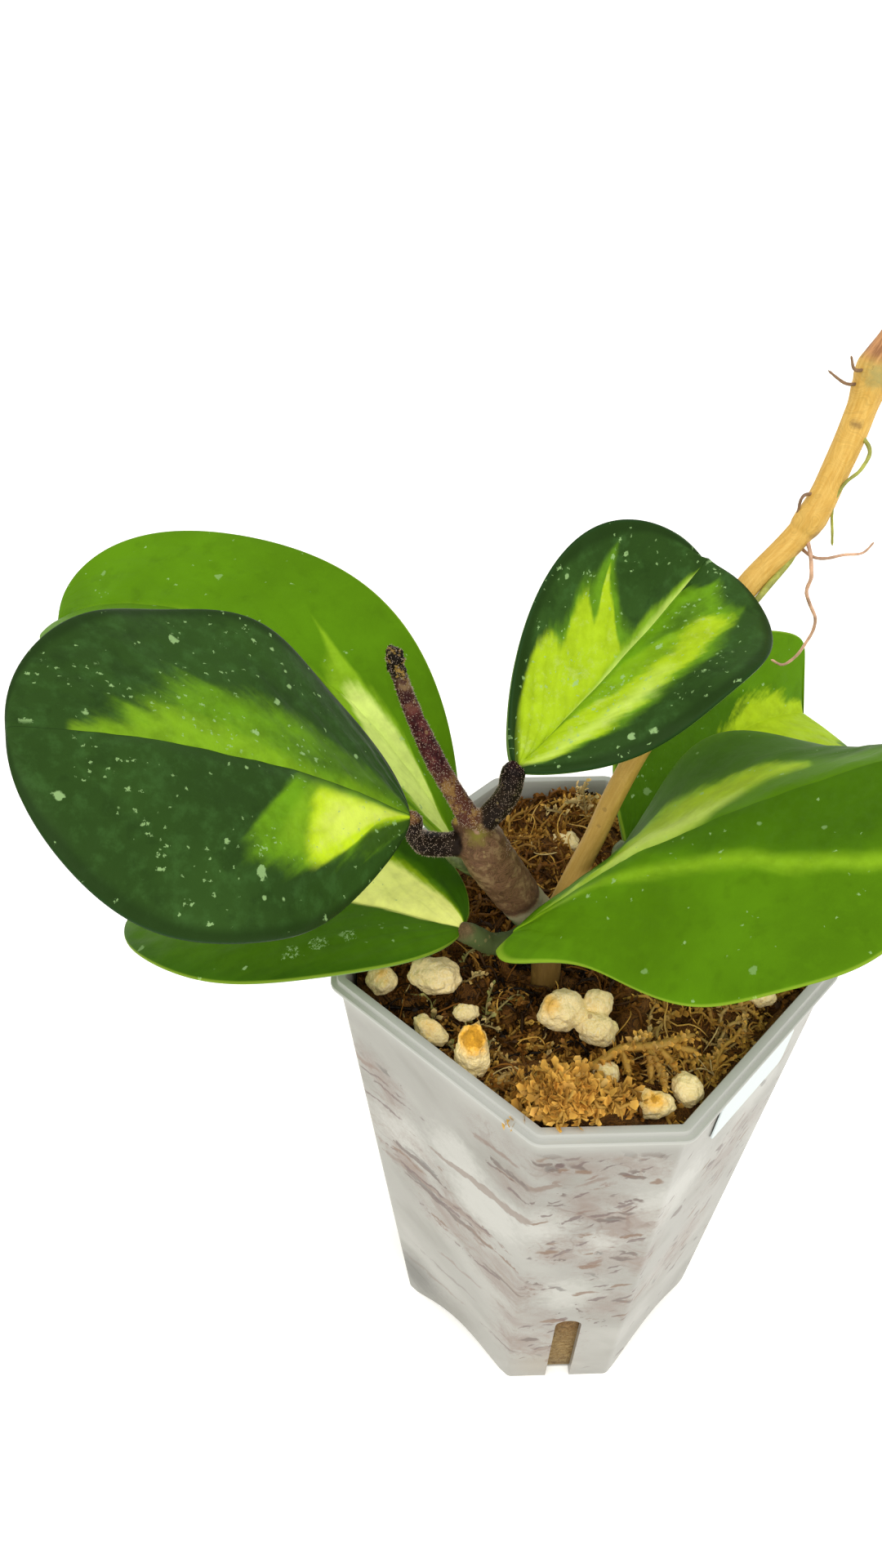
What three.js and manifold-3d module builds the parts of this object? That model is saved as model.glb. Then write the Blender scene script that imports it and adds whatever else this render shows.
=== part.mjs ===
// Potted variegated hoya in a square tapered nursery pot with cut corners.
// Millimetres, +Z up. The pot stands on Z = 0 with its axis on the Z axis and a cut corner facing -Y.
import * as THREE from 'three';
import Manifold from 'manifold-3d';

const wasm = await Manifold();
wasm.setup();

// Pot
const POT_HEIGHT = 95;
const BASE_WIDTH = 53;
const BODY_TOP_WIDTH = 67.4;
const BODY_TOP_Z = 93.4;
const BASE_CUT = 13.3;
const TOP_CUT = 14.2;
const LIP_WIDTH = 70;
const BEAD_WIDTH = 68;
const WALL = 1.2;
const FLOOR = 1.4;
const ARCH_WIDTH = 21;
const ARCH_HEIGHT = 5.2;
const ARCH_DEPTH = 5.5;
const SLOT_WIDTH = 4.6;
const SLOT_HEIGHT = 28;
const GAP = 0.3;

// Growing moss
const MOSS_Z = 89;
const MOSS_SECTION_Z = 86;
const STRANDS = 16;

// Blade thickness at the midrib and at the margin
const MIDRIB_THICK = 1.7;
const MARGIN_THICK = 0.9;
const BLADE_ROWS = 14;
const BLADE_COLUMNS = 5;

// Each blade is drawn along its midrib from the base. Angles are in degrees.
// heading and rise aim the midrib, roll turns the blade about it, droop and twist act along it.
// left and right are the half widths, widest is where they are reached, base_round and tip_round
// shape the ends, fold lifts each half, cup curls it on and wave = [height, count, start].
const LEAVES = {
  leaf_front_left: {
    base: [-26.7, -11, 127.9], heading: 209.5, rise: 46.5, roll: -18.5, length: 54.4,
    left: 22.5, right: 22, widest: 0.56, base_round: 0.57, tip_round: 0.44, droop: 29, twist: 10,
    fold: [-14, 14.5], cup: [-12, 0], wave_left: [-1.2, 1.43, 30], wave_right: [-1.1, 2.1, -52],
    notch: 0, lobe: 0,
  },
  leaf_upper_right: {
    base: [-12.7, -10, 134.8], heading: 42.5, rise: 16.5, roll: -10, length: 42,
    left: 16.8, right: 18, widest: 0.63, base_round: 0.44, tip_round: 0.45, droop: -10.5, twist: 11.5,
    fold: [39, 4.5], cup: [18.5, -3.5], wave_left: [0.2, 1.4, 0], wave_right: [-2.6, 1.13, 32.5],
    notch: -0.014, lobe: 0,
  },
  leaf_low_left: {
    base: [-19, -9.1, 103.9], heading: 158, rise: 3.5, roll: 11.5, length: 58.5,
    left: 21, right: 21.5, widest: 0.47, base_round: 0.6, tip_round: 0.56, droop: 34, twist: -3,
    fold: [7.5, 13.5], cup: [-8, 1], wave_left: [0.6, 1.33, 17], wave_right: [0, 1, 0],
    notch: -0.02, lobe: 0.01,
  },
  leaf_right: {
    base: [-11.9, -13.3, 107.5], heading: 7.5, rise: 42, roll: -41.5, length: 64,
    left: 28, right: 30.8, widest: 0.56, base_round: 0.91, tip_round: 0.47, droop: 24.5, twist: 3,
    fold: [8, -39], cup: [-0.5, 2], wave_left: [-5.2, 1.33, 26], wave_right: [-1.6, 1.6, -41],
    notch: -0.01, lobe: 0.09,
  },
  leaf_rear_left: {
    base: [-20.4, 1.4, 111.6], heading: 129, rise: 48, roll: 27, length: 87,
    left: 17.5, right: 19, widest: 0.58, base_round: 0.52, tip_round: 0.39, droop: 82, twist: -29.5,
    fold: [12, 17], cup: [0, 3.5], wave_left: [0, 1, 0], wave_right: [-1.4, 1.47, 90],
    notch: 0.05, lobe: 0,
  },
  leaf_rear_right: {
    base: [9.5, 14.9, 98], heading: 46, rise: 31, roll: -11, length: 53.8,
    left: 19, right: 19, widest: 0.53, base_round: 0.91, tip_round: 0.1, droop: 57.5, twist: 29,
    fold: [29.5, 11.5], cup: [11, 0], wave_left: [-1.5, 0.87, -89], wave_right: [0, 1, 0],
    notch: 0.02, lobe: 0,
  },
};

// Old woody vine: a centre line with the radius at each point
const CANE = [
  [-5.6, -6.4, 76, 2.2], [-5.6, -6, 86.4, 2.3], [-5.4, -4.2, 95, 2.4], [-5, -3.2, 98.6, 2.7],
  [-3.2, -1.4, 102.6, 1.8], [1.3, 1, 113.9, 1.6], [5.5, 4, 123.9, 1.6], [14, 10, 136.2, 1.6],
  [22.4, 17, 146.7, 1.75], [28.6, 20, 152.1, 1.9], [30.2, 20.6, 154.4, 2.2], [32.9, 22.5, 159.8, 2],
  [35.9, 25.5, 168.4, 2.05], [37, 26.5, 173.4, 2.7], [39.4, 28.5, 178.6, 1.7], [43.4, 31.5, 188, 1.45],
  [47, 34, 197, 1.4],
];
// Loose aerial roots and dry spikes of the vine, each from inside the vine outwards
const AERIAL_ROOTS = [
  [0.34, [[30, 20.6, 153], [30.3, 18, 151.4], [30.8, 16.5, 148.2], [30.7, 16.5, 145.4],
    [33, 16.5, 140.6], [32.5, 16.5, 137.4], [31, 16.5, 134.2], [29.6, 16.5, 133.2], [27.7, 16.5, 134.1]]],
  [0.34, [
    [29.6, 20.4, 150.6], [31.5, 17.6, 150.3], [35, 16.5, 151.4], [37.4, 16.5, 151.7], [38.5, 16.5, 153.3],
  ]],
  [0.34, [[35.2, 25, 166.6], [36.9, 21.6, 164.2], [35.8, 20.6, 162.1], [33.9, 20.5, 159.9],
    [33, 20.2, 157], [33.6, 20.2, 153.9], [34.3, 20.2, 150.9]]],
  [0.34, [[36.4, 26.2, 172], [33, 25.4, 172.2], [29.8, 24.5, 174.3]]],
  [0.34, [[36.4, 26.2, 174], [33.6, 25, 174.2], [32.4, 24.5, 176.2]]],
  [0.34, [[32, 22.2, 157.6], [28.9, 21, 158.2], [28.4, 20.7, 155.4]]],
];

// Young shoot and what grows from its two joints
const SHOOT = [
  [-5.6, -4.4, 99, 2.6], [-7.3, -5, 102.4, 3.1], [-9.2, -5.6, 105.4, 3.3], [-12.2, -6.6, 111, 3.4],
  [-15.2, -7.6, 117, 3.6], [-16.6, -8, 120.4, 3.5], [-17.6, -8, 123, 2.6],
];
const FLOWER_STALK = [
  [-16.8, -8, 121, 2.2], [-18.4, -7.8, 125, 1.6], [-20.6, -7.4, 129.4, 1.42], [-23, -7, 134.4, 1.36],
  [-25.9, -6, 141.6, 1.14], [-27.6, -5.2, 147, 1], [-28, -5, 148.6, 1.2], [-28.2, -5, 150.3, 0.85],
];
const STALK_FRONT_LEFT = [
  [-16.6, -8, 120, 2], [-20.9, -8.2, 120.5, 1.75], [-24.2, -9.1, 121.6, 1.75], [-26, -10.2, 124.4, 1.2],
];
const STALK_UPPER_RIGHT = [
  [-17.2, -8, 122, 1.9], [-16.7, -8.6, 124.5, 1.75], [-15, -8.9, 127.2, 1.7], [-13.4, -9.2, 130.4, 1.65],
];
const STALK_LOW_LEFT = [[-7.6, -5.8, 101.6, 2], [-10.4, -7.2, 99.8, 1.9], [-14.4, -8.2, 100.2, 1.7]];
const STALK_RIGHT = [[-6.6, -5.2, 101, 1.9], [-6.4, -7.6, 101.6, 1.7]];

// Stalks of the two rear leaves, rising out of the moss
const REAR_LEFT_STALK = [
  [-6, 4.4, 80, 1.8], [-6.4, 4, 88.5, 1.8], [-8.6, 3.4, 95, 1.7], [-14.2, 2.4, 104, 1.7],
];
const REAR_RIGHT_STALK = [[13.4, 13, 80, 1.8], [12.6, 13.4, 88, 1.8], [10.6, 14, 94, 1.7]];

// Mounds and hollows of the moss: [x, y, rise, spread]
const MOUNDS = [
  [-4.5, -33, 6, 4.2], [1.5, -33.5, 4, 3.5], [8, -23, 2.6, 4], [-10, -27, 2, 5], [-5.8, 17, 6, 6],
  [5, 29, 6.5, 5], [-3, 33, 3, 4], [-17, 6, 2, 6], [18, -10, 2, 6], [22, 6, 2.5, 6], [-24, 2, 2, 5],
  [-12, -15, -2.6, 4.5], [4, -20, -2.4, 4], [14, -20, -2.4, 5], [-27, -12, -2, 4], [2, 4, -2, 6],
];

// Perlite crumbs: centre, half sizes, turn about Z, lean in degrees
const PERLITE = [
  [[-31.2, -7, 91.2], [2.7, 2.7, 2.3], 20, 0],
  [[-23, -6.6, 91.6], [4.7, 3.4, 3], -15, 8],
  [[-18.4, -13, 90.2], [2.3, 1.7, 1.4], 10, 0],
  [[-24, -16.6, 90.6], [1.9, 3.6, 1.9], 50, 10],
  [[-18, -22.7, 93.2], [2.8, 3.1, 5.2], 10, -14],
  [[-4.2, -15.4, 93.2], [4.1, 3.3, 3.8], 25, 0],
  [[0.9, -17.6, 91.4], [3.4, 2.9, 2.9], -30, 0],
  [[0.8, -26.2, 91.8], [2.4, 2.4, 2.4], 15, 20],
  [[4.4, -29, 91], [1.4, 1.3, 1.3], 0, 0],
  [[12.2, -28.8, 91.6], [2.5, 2.9, 2.4], 30, 0],
  [[6.6, -31.6, 92.4], [3.6, 2.2, 2.2], -5, 0],
  [[27, -11.6, 91.4], [2.5, 2.3, 2], 0, 0],
  [[0.4, 22.4, 92.2], [3.3, 2.7, 2.4], 20, 0],
  [[1.4, -14, 93], [2.6, 2.3, 2.6], 0, 0],
];
// The crumbs that form one three lobed crumb
const JOINED_CRUMBS = [5, 6, 13];

const rad = THREE.MathUtils.degToRad;

// Repeatable random numbers in 0 to 1
function makeRandom(seed) {
  let state = seed;
  return () => {
    state = (state * 1664525 + 1013904223) % 4294967296;
    return state / 4294967296;
  };
}

function solid(points, triangles) {
  const mesh = new wasm.Mesh({
    numProp: 3,
    vertProperties: new Float32Array(points.flat()),
    triVerts: new Uint32Array(triangles.flat()),
  });
  return new wasm.Manifold(mesh);
}

function unite(parts) {
  return parts.reduce((sum, part) => sum.add(part));
}

function largest(body) {
  return body.decompose().reduce((best, part) => (part.volume() > best.volume() ? part : best));
}

// Skin over a stack of loops that turn anticlockwise seen from above, closed by a fan at each end
function loft(loops) {
  const count = loops[0].length;
  const points = loops.flat();
  const triangles = [];
  for (let ring = 0; ring + 1 < loops.length; ring += 1) {
    for (let k = 0; k < count; k += 1) {
      const a = ring * count + k;
      const b = ring * count + ((k + 1) % count);
      triangles.push([a, b, b + count], [a, b + count, a + count]);
    }
  }
  const centre = (loop) => [0, 1, 2].map((i) => loop.reduce((s, p) => s + p[i], 0) / count);
  const low = points.length;
  points.push(centre(loops[0]));
  const high = points.length;
  points.push(centre(loops[loops.length - 1]));
  const last = (loops.length - 1) * count;
  for (let k = 0; k < count; k += 1) {
    const next = (k + 1) % count;
    triangles.push([low, next, k], [high, last + k, last + next]);
  }
  return solid(points, triangles);
}

// Round bar along a smooth line through [x, y, z, radius] points
function bar(line, sides, steps, grow = 0) {
  const places = line.map((p) => new THREE.Vector3(p[0], p[1], p[2]));
  const centre = new THREE.CatmullRomCurve3(places, false, 'centripetal');
  const total = steps * (line.length - 1);
  const loops = [];
  let across = null;
  for (let i = 0; i <= total; i += 1) {
    const u = i / total;
    const k = Math.min(Math.floor(u * (line.length - 1)), line.length - 2);
    const part = u * (line.length - 1) - k;
    const radius = line[k][3] + (line[k + 1][3] - line[k][3]) * part + grow;
    const at = centre.getPoint(u);
    const ahead = centre.getTangent(u);
    if (across === null) {
      across = Math.abs(ahead.x) < 0.9 ? new THREE.Vector3(1, 0, 0) : new THREE.Vector3(0, 1, 0);
    }
    across = across.clone().addScaledVector(ahead, -across.dot(ahead)).normalize();
    const up = ahead.clone().cross(across);
    const loop = [];
    for (let s = 0; s < sides; s += 1) {
      const turn = (2 * Math.PI * s) / sides;
      const p = at.clone();
      p.addScaledVector(across, radius * Math.cos(turn));
      p.addScaledVector(up, radius * Math.sin(turn));
      loop.push([p.x, p.y, p.z]);
    }
    loops.push(loop);
  }
  return loft(loops);
}

function thread(points, radius, sides, steps) {
  return bar(points.map((p) => [...p, radius]), sides, steps);
}

// Square section with cut corners, turned so that a cut corner faces -Y
function section(width, cut, z, steps = [1, 1]) {
  const h = width / 2;
  const corners = [
    [h, h - cut], [h - cut, h], [cut - h, h], [-h, h - cut],
    [-h, cut - h], [cut - h, -h], [h - cut, -h], [h, cut - h],
  ];
  const loop = [];
  corners.forEach((p, i) => {
    const q = corners[(i + 1) % 8];
    const pieces = steps[i % 2];
    for (let k = 0; k < pieces; k += 1) {
      const x = p[0] + ((q[0] - p[0]) * k) / pieces;
      const y = p[1] + ((q[1] - p[1]) * k) / pieces;
      loop.push([(x - y) * Math.SQRT1_2, (x + y) * Math.SQRT1_2, z]);
    }
  });
  return loop;
}

function bodyWidth(z) {
  return BASE_WIDTH + ((BODY_TOP_WIDTH - BASE_WIDTH) * z) / BODY_TOP_Z;
}

function bodyCut(z) {
  return BASE_CUT + ((TOP_CUT - BASE_CUT) * z) / BODY_TOP_Z;
}

// Section of the pot moved inwards by a distance
function inside(z, distance, steps) {
  const cut = bodyCut(z) - (2 - Math.SQRT2) * distance;
  return section(bodyWidth(z) - 2 * distance, cut, z, steps);
}

// Upright block with a round top, its long way along a direction, from one distance to another
function arch(angle, width, height, from, to, round) {
  const outline = [[-width / 2, -1]];
  const steps = 8;
  for (let i = 0; i <= steps; i += 1) {
    const turn = Math.PI * (1 - i / steps);
    outline.push([(width / 2) * Math.cos(turn), height - round + round * Math.sin(turn)]);
  }
  outline.push([width / 2, -1]);
  outline.reverse();
  const c = Math.cos(angle);
  const s = Math.sin(angle);
  const place = (along, p) => [c * along - s * p[0], s * along + c * p[0], p[1]];
  return loft([from, to].map((along) => outline.map((p) => place(along, p))));
}

function makePot() {
  const lip = TOP_CUT + 0.3;
  const shell = loft([
    inside(0, 0), inside(BODY_TOP_Z, 0), section(LIP_WIDTH, lip, BODY_TOP_Z), section(LIP_WIDTH, lip, 94.2),
    section(BEAD_WIDTH, lip, 94.4), section(BEAD_WIDTH - 0.4, lip, POT_HEIGHT),
  ]);
  const block = loft([inside(0, 0), inside(20, 0)]);
  let pot = shell.subtract(loft([inside(FLOOR, WALL), inside(POT_HEIGHT + 1, WALL)]));
  const face = BASE_WIDTH / 2;
  const corner = (BASE_WIDTH - BASE_CUT) * Math.SQRT1_2;
  for (let k = 0; k < 4; k += 1) {
    const side = rad(45 + 90 * k);
    const deep = face - ARCH_DEPTH;
    const lining = arch(side, ARCH_WIDTH + 2 * WALL, ARCH_HEIGHT + WALL, deep - WALL, face + 4, ARCH_HEIGHT);
    pot = pot.add(lining.intersect(block));
    pot = pot.subtract(arch(side, ARCH_WIDTH, ARCH_HEIGHT, deep, face + 5, ARCH_HEIGHT));
    pot = pot.subtract(arch(rad(90 * k), SLOT_WIDTH, SLOT_HEIGHT, corner - WALL, corner + 5, SLOT_WIDTH / 2));
  }
  return pot;
}

function mossHeight(x, y) {
  const broad = 0.7 * Math.sin(0.55 * x + 0.3 * y) * Math.cos(0.47 * y - 0.2 * x);
  const ripple = broad + 0.4 * Math.sin(1.1 * x - 0.9 * y);
  return MOUNDS.reduce((z, m) => {
    const away = ((x - m[0]) ** 2 + (y - m[1]) ** 2) / (2 * m[3] ** 2);
    return z + m[2] * Math.exp(-away);
  }, MOSS_Z + ripple);
}

function makeMoss(stems, crumbs) {
  const steps = [3, 6];
  const low = inside(FLOOR + GAP, WALL + GAP, steps);
  const rim = inside(MOSS_SECTION_Z, WALL + GAP, steps);
  const loops = [low];
  const rings = 9;
  for (let ring = rings; ring >= 1; ring -= 1) {
    const share = ring / rings;
    loops.push(rim.map((p) => [p[0] * share, p[1] * share, mossHeight(p[0] * share, p[1] * share)]));
  }
  let moss = loft(loops);
  const random = makeRandom(7);
  for (let i = 0; i < STRANDS; i += 1) {
    const spot = rim[Math.floor(random() * rim.length)];
    const share = Math.sqrt(random()) * 0.8;
    const way = random() * 2 * Math.PI;
    const length = 7 + 8 * random();
    const bend = (random() - 0.5) * 1.6;
    const line = [];
    for (let k = -2; k <= 2; k += 1) {
      const x = (spot[0] * share + (k / 4) * length * Math.cos(way + bend * (k / 4)));
      const y = (spot[1] * share + (k / 4) * length * Math.sin(way + bend * (k / 4)));
      const lift = 0.9 - 0.45 * Math.abs(k) + 0.5 * random();
      line.push([x, y, mossHeight(x, y) + lift, 0.5 + 0.5 * random()]);
    }
    moss = moss.add(bar(line, 5, 1));
  }
  moss = moss.intersect(loft([inside(FLOOR + GAP, WALL + GAP), inside(POT_HEIGHT + 8, WALL + GAP)]));
  const face = BASE_WIDTH / 2;
  for (let k = 0; k < 4; k += 1) {
    const wide = ARCH_WIDTH + 2 * WALL + 2 * GAP;
    const high = ARCH_HEIGHT + WALL + GAP;
    const deep = face - ARCH_DEPTH - WALL - GAP;
    moss = moss.subtract(arch(rad(45 + 90 * k), wide, high, deep, face + 4, ARCH_HEIGHT));
  }
  [...stems, ...crumbs].forEach((part) => {
    moss = moss.subtract(part);
  });
  return largest(moss);
}

// Lumpy closed crumb
function crumb(centre, half, turn, lean, seed, grow = 0) {
  const random = makeRandom(seed);
  const rows = 5;
  const columns = 8;
  const loops = [];
  const spin = new THREE.Euler(rad(lean), 0, rad(turn));
  for (let i = 0; i <= rows; i += 1) {
    const tilt = Math.PI * (0.08 + (0.84 * i) / rows);
    const loop = [];
    for (let k = 0; k < columns; k += 1) {
      const way = (2 * Math.PI * k) / columns;
      const lump = 0.86 + 0.22 * random();
      const shape = [Math.sin(tilt) * Math.cos(way), Math.sin(tilt) * Math.sin(way), -Math.cos(tilt)];
      const p = new THREE.Vector3(...shape.map((s, a) => s * (half[a] * lump + grow)));
      p.applyEuler(spin);
      loop.push([p.x + centre[0], p.y + centre[1], p.z + centre[2]]);
    }
    loops.push(loop);
  }
  return loft(loops);
}

// Point of a blade: along runs 0 to 1 from base to tip, side runs from -1 (right) to 1 (left)
function bladePoint(leaf, along, side) {
  const heading = rad(leaf.heading);
  const rise = rad(leaf.rise);
  const roll = rad(leaf.roll);
  const lean = Math.cos(rise);
  const forward = new THREE.Vector3(Math.cos(heading) * lean, Math.sin(heading) * lean, Math.sin(rise));
  const level = new THREE.Vector3(-Math.sin(heading), Math.cos(heading), 0);
  const upright = forward.clone().cross(level);
  const left = level.clone().multiplyScalar(Math.cos(roll)).addScaledVector(upright, Math.sin(roll));
  const up = upright.clone().multiplyScalar(Math.cos(roll)).addScaledVector(level, -Math.sin(roll));
  const out = Math.abs(side);
  const isLeft = side > 0;
  const power = Math.log(0.5) / Math.log(leaf.widest);
  const round = leaf.base_round + (leaf.tip_round - leaf.base_round) * along;
  const share = Math.max(Math.sin(Math.PI * along ** power), 0) ** round;
  const width = (isLeft ? leaf.left : leaf.right) * share * out;
  const lobeSide = isLeft ? 0.15 * out : out * out;
  const lobe = leaf.lobe * lobeSide * Math.exp(-(((along - 0.05) / 0.07) ** 2)) * Math.min(along / 0.01, 1);
  const notch = leaf.notch * Math.exp(-((out / 0.35) ** 2)) * along ** 10;
  const reach = along - lobe - notch;
  const droop = rad(leaf.droop);
  const bent = droop * reach;
  const run = Math.abs(droop) < 1e-6 ? leaf.length * reach : (leaf.length * Math.sin(bent)) / droop;
  const fall = Math.abs(droop) < 1e-6 ? 0 : (-leaf.length * (1 - Math.cos(bent))) / droop;
  const half = isLeft ? 0 : 1;
  const lift = rad(leaf.fold[half] + leaf.cup[half] * out);
  const wave = isLeft ? leaf.wave_left : leaf.wave_right;
  const swing = Math.sin(2 * Math.PI * wave[1] * along + rad(wave[2]));
  const ripple = wave[0] * swing * out * out * Math.min(share, 1);
  const flat = (isLeft ? 1 : -1) * width * Math.cos(lift);
  const high = width * Math.sin(lift) + ripple;
  const twist = rad(leaf.twist) * reach;
  const y = flat * Math.cos(twist) - high * Math.sin(twist);
  const z = flat * Math.sin(twist) + high * Math.cos(twist);
  return new THREE.Vector3(...leaf.base)
    .addScaledVector(forward, run + z * Math.sin(bent))
    .addScaledVector(up, fall + z * Math.cos(bent))
    .addScaledVector(left, y);
}

function bladeNormal(leaf, along, side) {
  const a = Math.min(Math.max(along, 0.02), 0.98);
  const ahead = bladePoint(leaf, a + 0.01, side).sub(bladePoint(leaf, a - 0.01, side));
  const s = Math.min(Math.max(side, -0.95), 0.95);
  const across = bladePoint(leaf, a, s + 0.05).sub(bladePoint(leaf, a, s - 0.05));
  return ahead.cross(across).normalize();
}

function bladeThickness(side) {
  return MARGIN_THICK + (MIDRIB_THICK - MARGIN_THICK) * (1 - side * side);
}

function makeBlade(leaf) {
  const columns = 2 * BLADE_COLUMNS;
  const points = [];
  const rows = [];
  for (let i = 0; i <= BLADE_ROWS; i += 1) {
    const along = (1 - Math.cos((Math.PI * i) / BLADE_ROWS)) / 2;
    const atEnd = i === 0 || i === BLADE_ROWS;
    const row = [];
    for (let k = 0; k <= columns; k += 1) {
      if (atEnd && k > 0) {
        row.push(row[0]);
      } else {
        const side = atEnd ? 0 : k / BLADE_COLUMNS - 1;
        const middle = bladePoint(leaf, along, side);
        const normal = bladeNormal(leaf, along, side);
        const half = (atEnd ? MARGIN_THICK : bladeThickness(side)) / 2;
        row.push(points.length);
        [half, -half].forEach((offset) => {
          const p = middle.clone().addScaledVector(normal, offset);
          points.push([p.x, p.y, p.z]);
        });
      }
    }
    rows.push(row);
  }
  const triangles = [];
  const face = (a, b, c) => {
    if (a !== b && b !== c && a !== c) {
      triangles.push([a, b, c], [a + 1, c + 1, b + 1]);
    }
  };
  const wall = (a, b) => {
    if (a !== b) {
      triangles.push([a, a + 1, b + 1], [a, b + 1, b]);
    }
  };
  for (let i = 0; i < BLADE_ROWS; i += 1) {
    for (let k = 0; k < columns; k += 1) {
      const [a, b, c, d] = [rows[i][k], rows[i + 1][k], rows[i + 1][k + 1], rows[i][k + 1]];
      face(a, b, c);
      face(a, c, d);
    }
    wall(rows[i][0], rows[i + 1][0]);
    wall(rows[i + 1][columns], rows[i][columns]);
  }
  return solid(points, triangles);
}

// Stalk that runs from its line to just short of the base of a blade
function stalk(line, leaf, grow = 0, reach = 1.2) {
  const back = bladePoint(leaf, 0.02, 0).sub(bladePoint(leaf, 0, 0)).normalize();
  const end = bladePoint(leaf, 0, 0).addScaledVector(back, -GAP - 0.05);
  const before = end.clone().addScaledVector(back, -reach);
  const last = line[line.length - 1][3];
  return bar([...line, [before.x, before.y, before.z, last], [end.x, end.y, end.z, last * 0.9]], 8, 2, grow);
}

// Stalk that ends under a blade, a little way in from its base
function stalkUnder(line, leaf, along, side) {
  const normal = bladeNormal(leaf, along, side);
  const end = bladePoint(leaf, along, side).addScaledVector(normal, -bladeThickness(side) / 2 - GAP - 0.3);
  const before = end.clone().addScaledVector(normal, -1.6);
  return bar([...line, [before.x, before.y, before.z, 1.6], [end.x, end.y, end.z, 1.4]], 8, 2);
}

function makeCane(grow = 0) {
  const cane = bar(CANE, 10, 2, grow);
  return unite([cane, ...AERIAL_ROOTS.map(([radius, line]) => thread(line, radius, 5, 1))]);
}

function makeShoot() {
  const parts = [
    bar(SHOOT, 10, 2),
    bar(FLOWER_STALK, 8, 1),
    stalk(STALK_FRONT_LEFT, LEAVES.leaf_front_left),
    stalk(STALK_UPPER_RIGHT, LEAVES.leaf_upper_right, 0, 0.3),
    stalk(STALK_LOW_LEFT, LEAVES.leaf_low_left),
    stalkUnder(STALK_RIGHT, LEAVES.leaf_right, 0.09, -0.5),
  ];
  return largest(unite(parts).subtract(bar(CANE, 10, 2, GAP)));
}

// Blank sticker on the long side to the right, just under the lip
function makeLabel() {
  const wide = 20;
  const high = 9;
  const middle = 84.5;
  const outline = (offset) => [
    [-wide / 2, -high / 2], [wide / 2, -high / 2], [wide / 2, high / 2], [-wide / 2, high / 2],
  ].map(([u, w]) => {
    const z = middle + w;
    const out = bodyWidth(z) / 2 + offset;
    return [(u + 1 + out) * Math.SQRT1_2, (u + 1 - out) * Math.SQRT1_2, z];
  });
  return loft([outline(GAP), outline(GAP + 0.6)]);
}

const group = new THREE.Group();
group.name = 'potted_hoya';

function show(name, body, colour, roughness) {
  const mesh = body.getMesh();
  const geometry = new THREE.BufferGeometry();
  const corners = new Float32Array((mesh.vertProperties.length / mesh.numProp) * 3);
  for (let i = 0; i < corners.length / 3; i += 1) {
    for (let a = 0; a < 3; a += 1) {
      corners[3 * i + a] = mesh.vertProperties[mesh.numProp * i + a];
    }
  }
  geometry.setAttribute('position', new THREE.BufferAttribute(corners, 3));
  geometry.setIndex(new THREE.BufferAttribute(new Uint32Array(mesh.triVerts), 1));
  geometry.computeVertexNormals();
  const material = new THREE.MeshStandardMaterial({ color: colour, roughness, metalness: 0 });
  const piece = new THREE.Mesh(geometry, material);
  piece.name = name;
  group.add(piece);
}

const crumbs = PERLITE.map((p, i) => crumb(...p, 20 + i));
const crumbPockets = PERLITE.map((p, i) => crumb(...p, 20 + i, GAP + 0.1));
const rearLeft = stalk(REAR_LEFT_STALK, LEAVES.leaf_rear_left);
const rearRight = stalk(REAR_RIGHT_STALK, LEAVES.leaf_rear_right);
const stemHoles = [
  bar(CANE, 10, 2, GAP + 0.1),
  stalk(REAR_LEFT_STALK, LEAVES.leaf_rear_left, GAP + 0.1),
  stalk(REAR_RIGHT_STALK, LEAVES.leaf_rear_right, GAP + 0.1),
];

show('pot', makePot(), 0xd9dcdc, 0.4);
show('label', makeLabel(), 0xf4f6f7, 0.5);
show('moss', makeMoss(stemHoles, crumbPockets), 0x7a5327, 0.95);
const [first, second, third] = JOINED_CRUMBS;
crumbs[first] = crumbs[first].add(crumbs[second]).add(crumbs[third]);
let number = 0;
crumbs.forEach((body, i) => {
  if (i !== second && i !== third) {
    number += 1;
    show(`perlite_${String(number).padStart(2, '0')}`, body, 0xe9e2cc, 0.9);
  }
});
show('cane', makeCane(), 0xb98f55, 0.75);
show('shoot', makeShoot(), 0x55403f, 0.6);
show('rear_left_stalk', rearLeft, 0x6a6a4a, 0.6);
show('rear_right_stalk', rearRight, 0x6a6a4a, 0.6);
const leafColours = {
  leaf_front_left: 0x1f4423,
  leaf_upper_right: 0x3f6b22,
  leaf_low_left: 0x3c7a1a,
  leaf_right: 0x47861b,
  leaf_rear_left: 0x4f941c,
  leaf_rear_right: 0x4f941c,
};
Object.entries(LEAVES).forEach(([name, leaf]) => show(name, makeBlade(leaf), leafColours[name], 0.4));

export default group;
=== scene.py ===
"""Potted variegated hoya in a square tapered nursery pot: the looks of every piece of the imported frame."""
import random
from math import cos, exp, log, pi, radians, sin, sqrt, tan

import bmesh
import bpy
import numpy as np
from bpy.props import FloatProperty, FloatVectorProperty, IntProperty, PointerProperty
from mathutils import Matrix, Vector, noise


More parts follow.
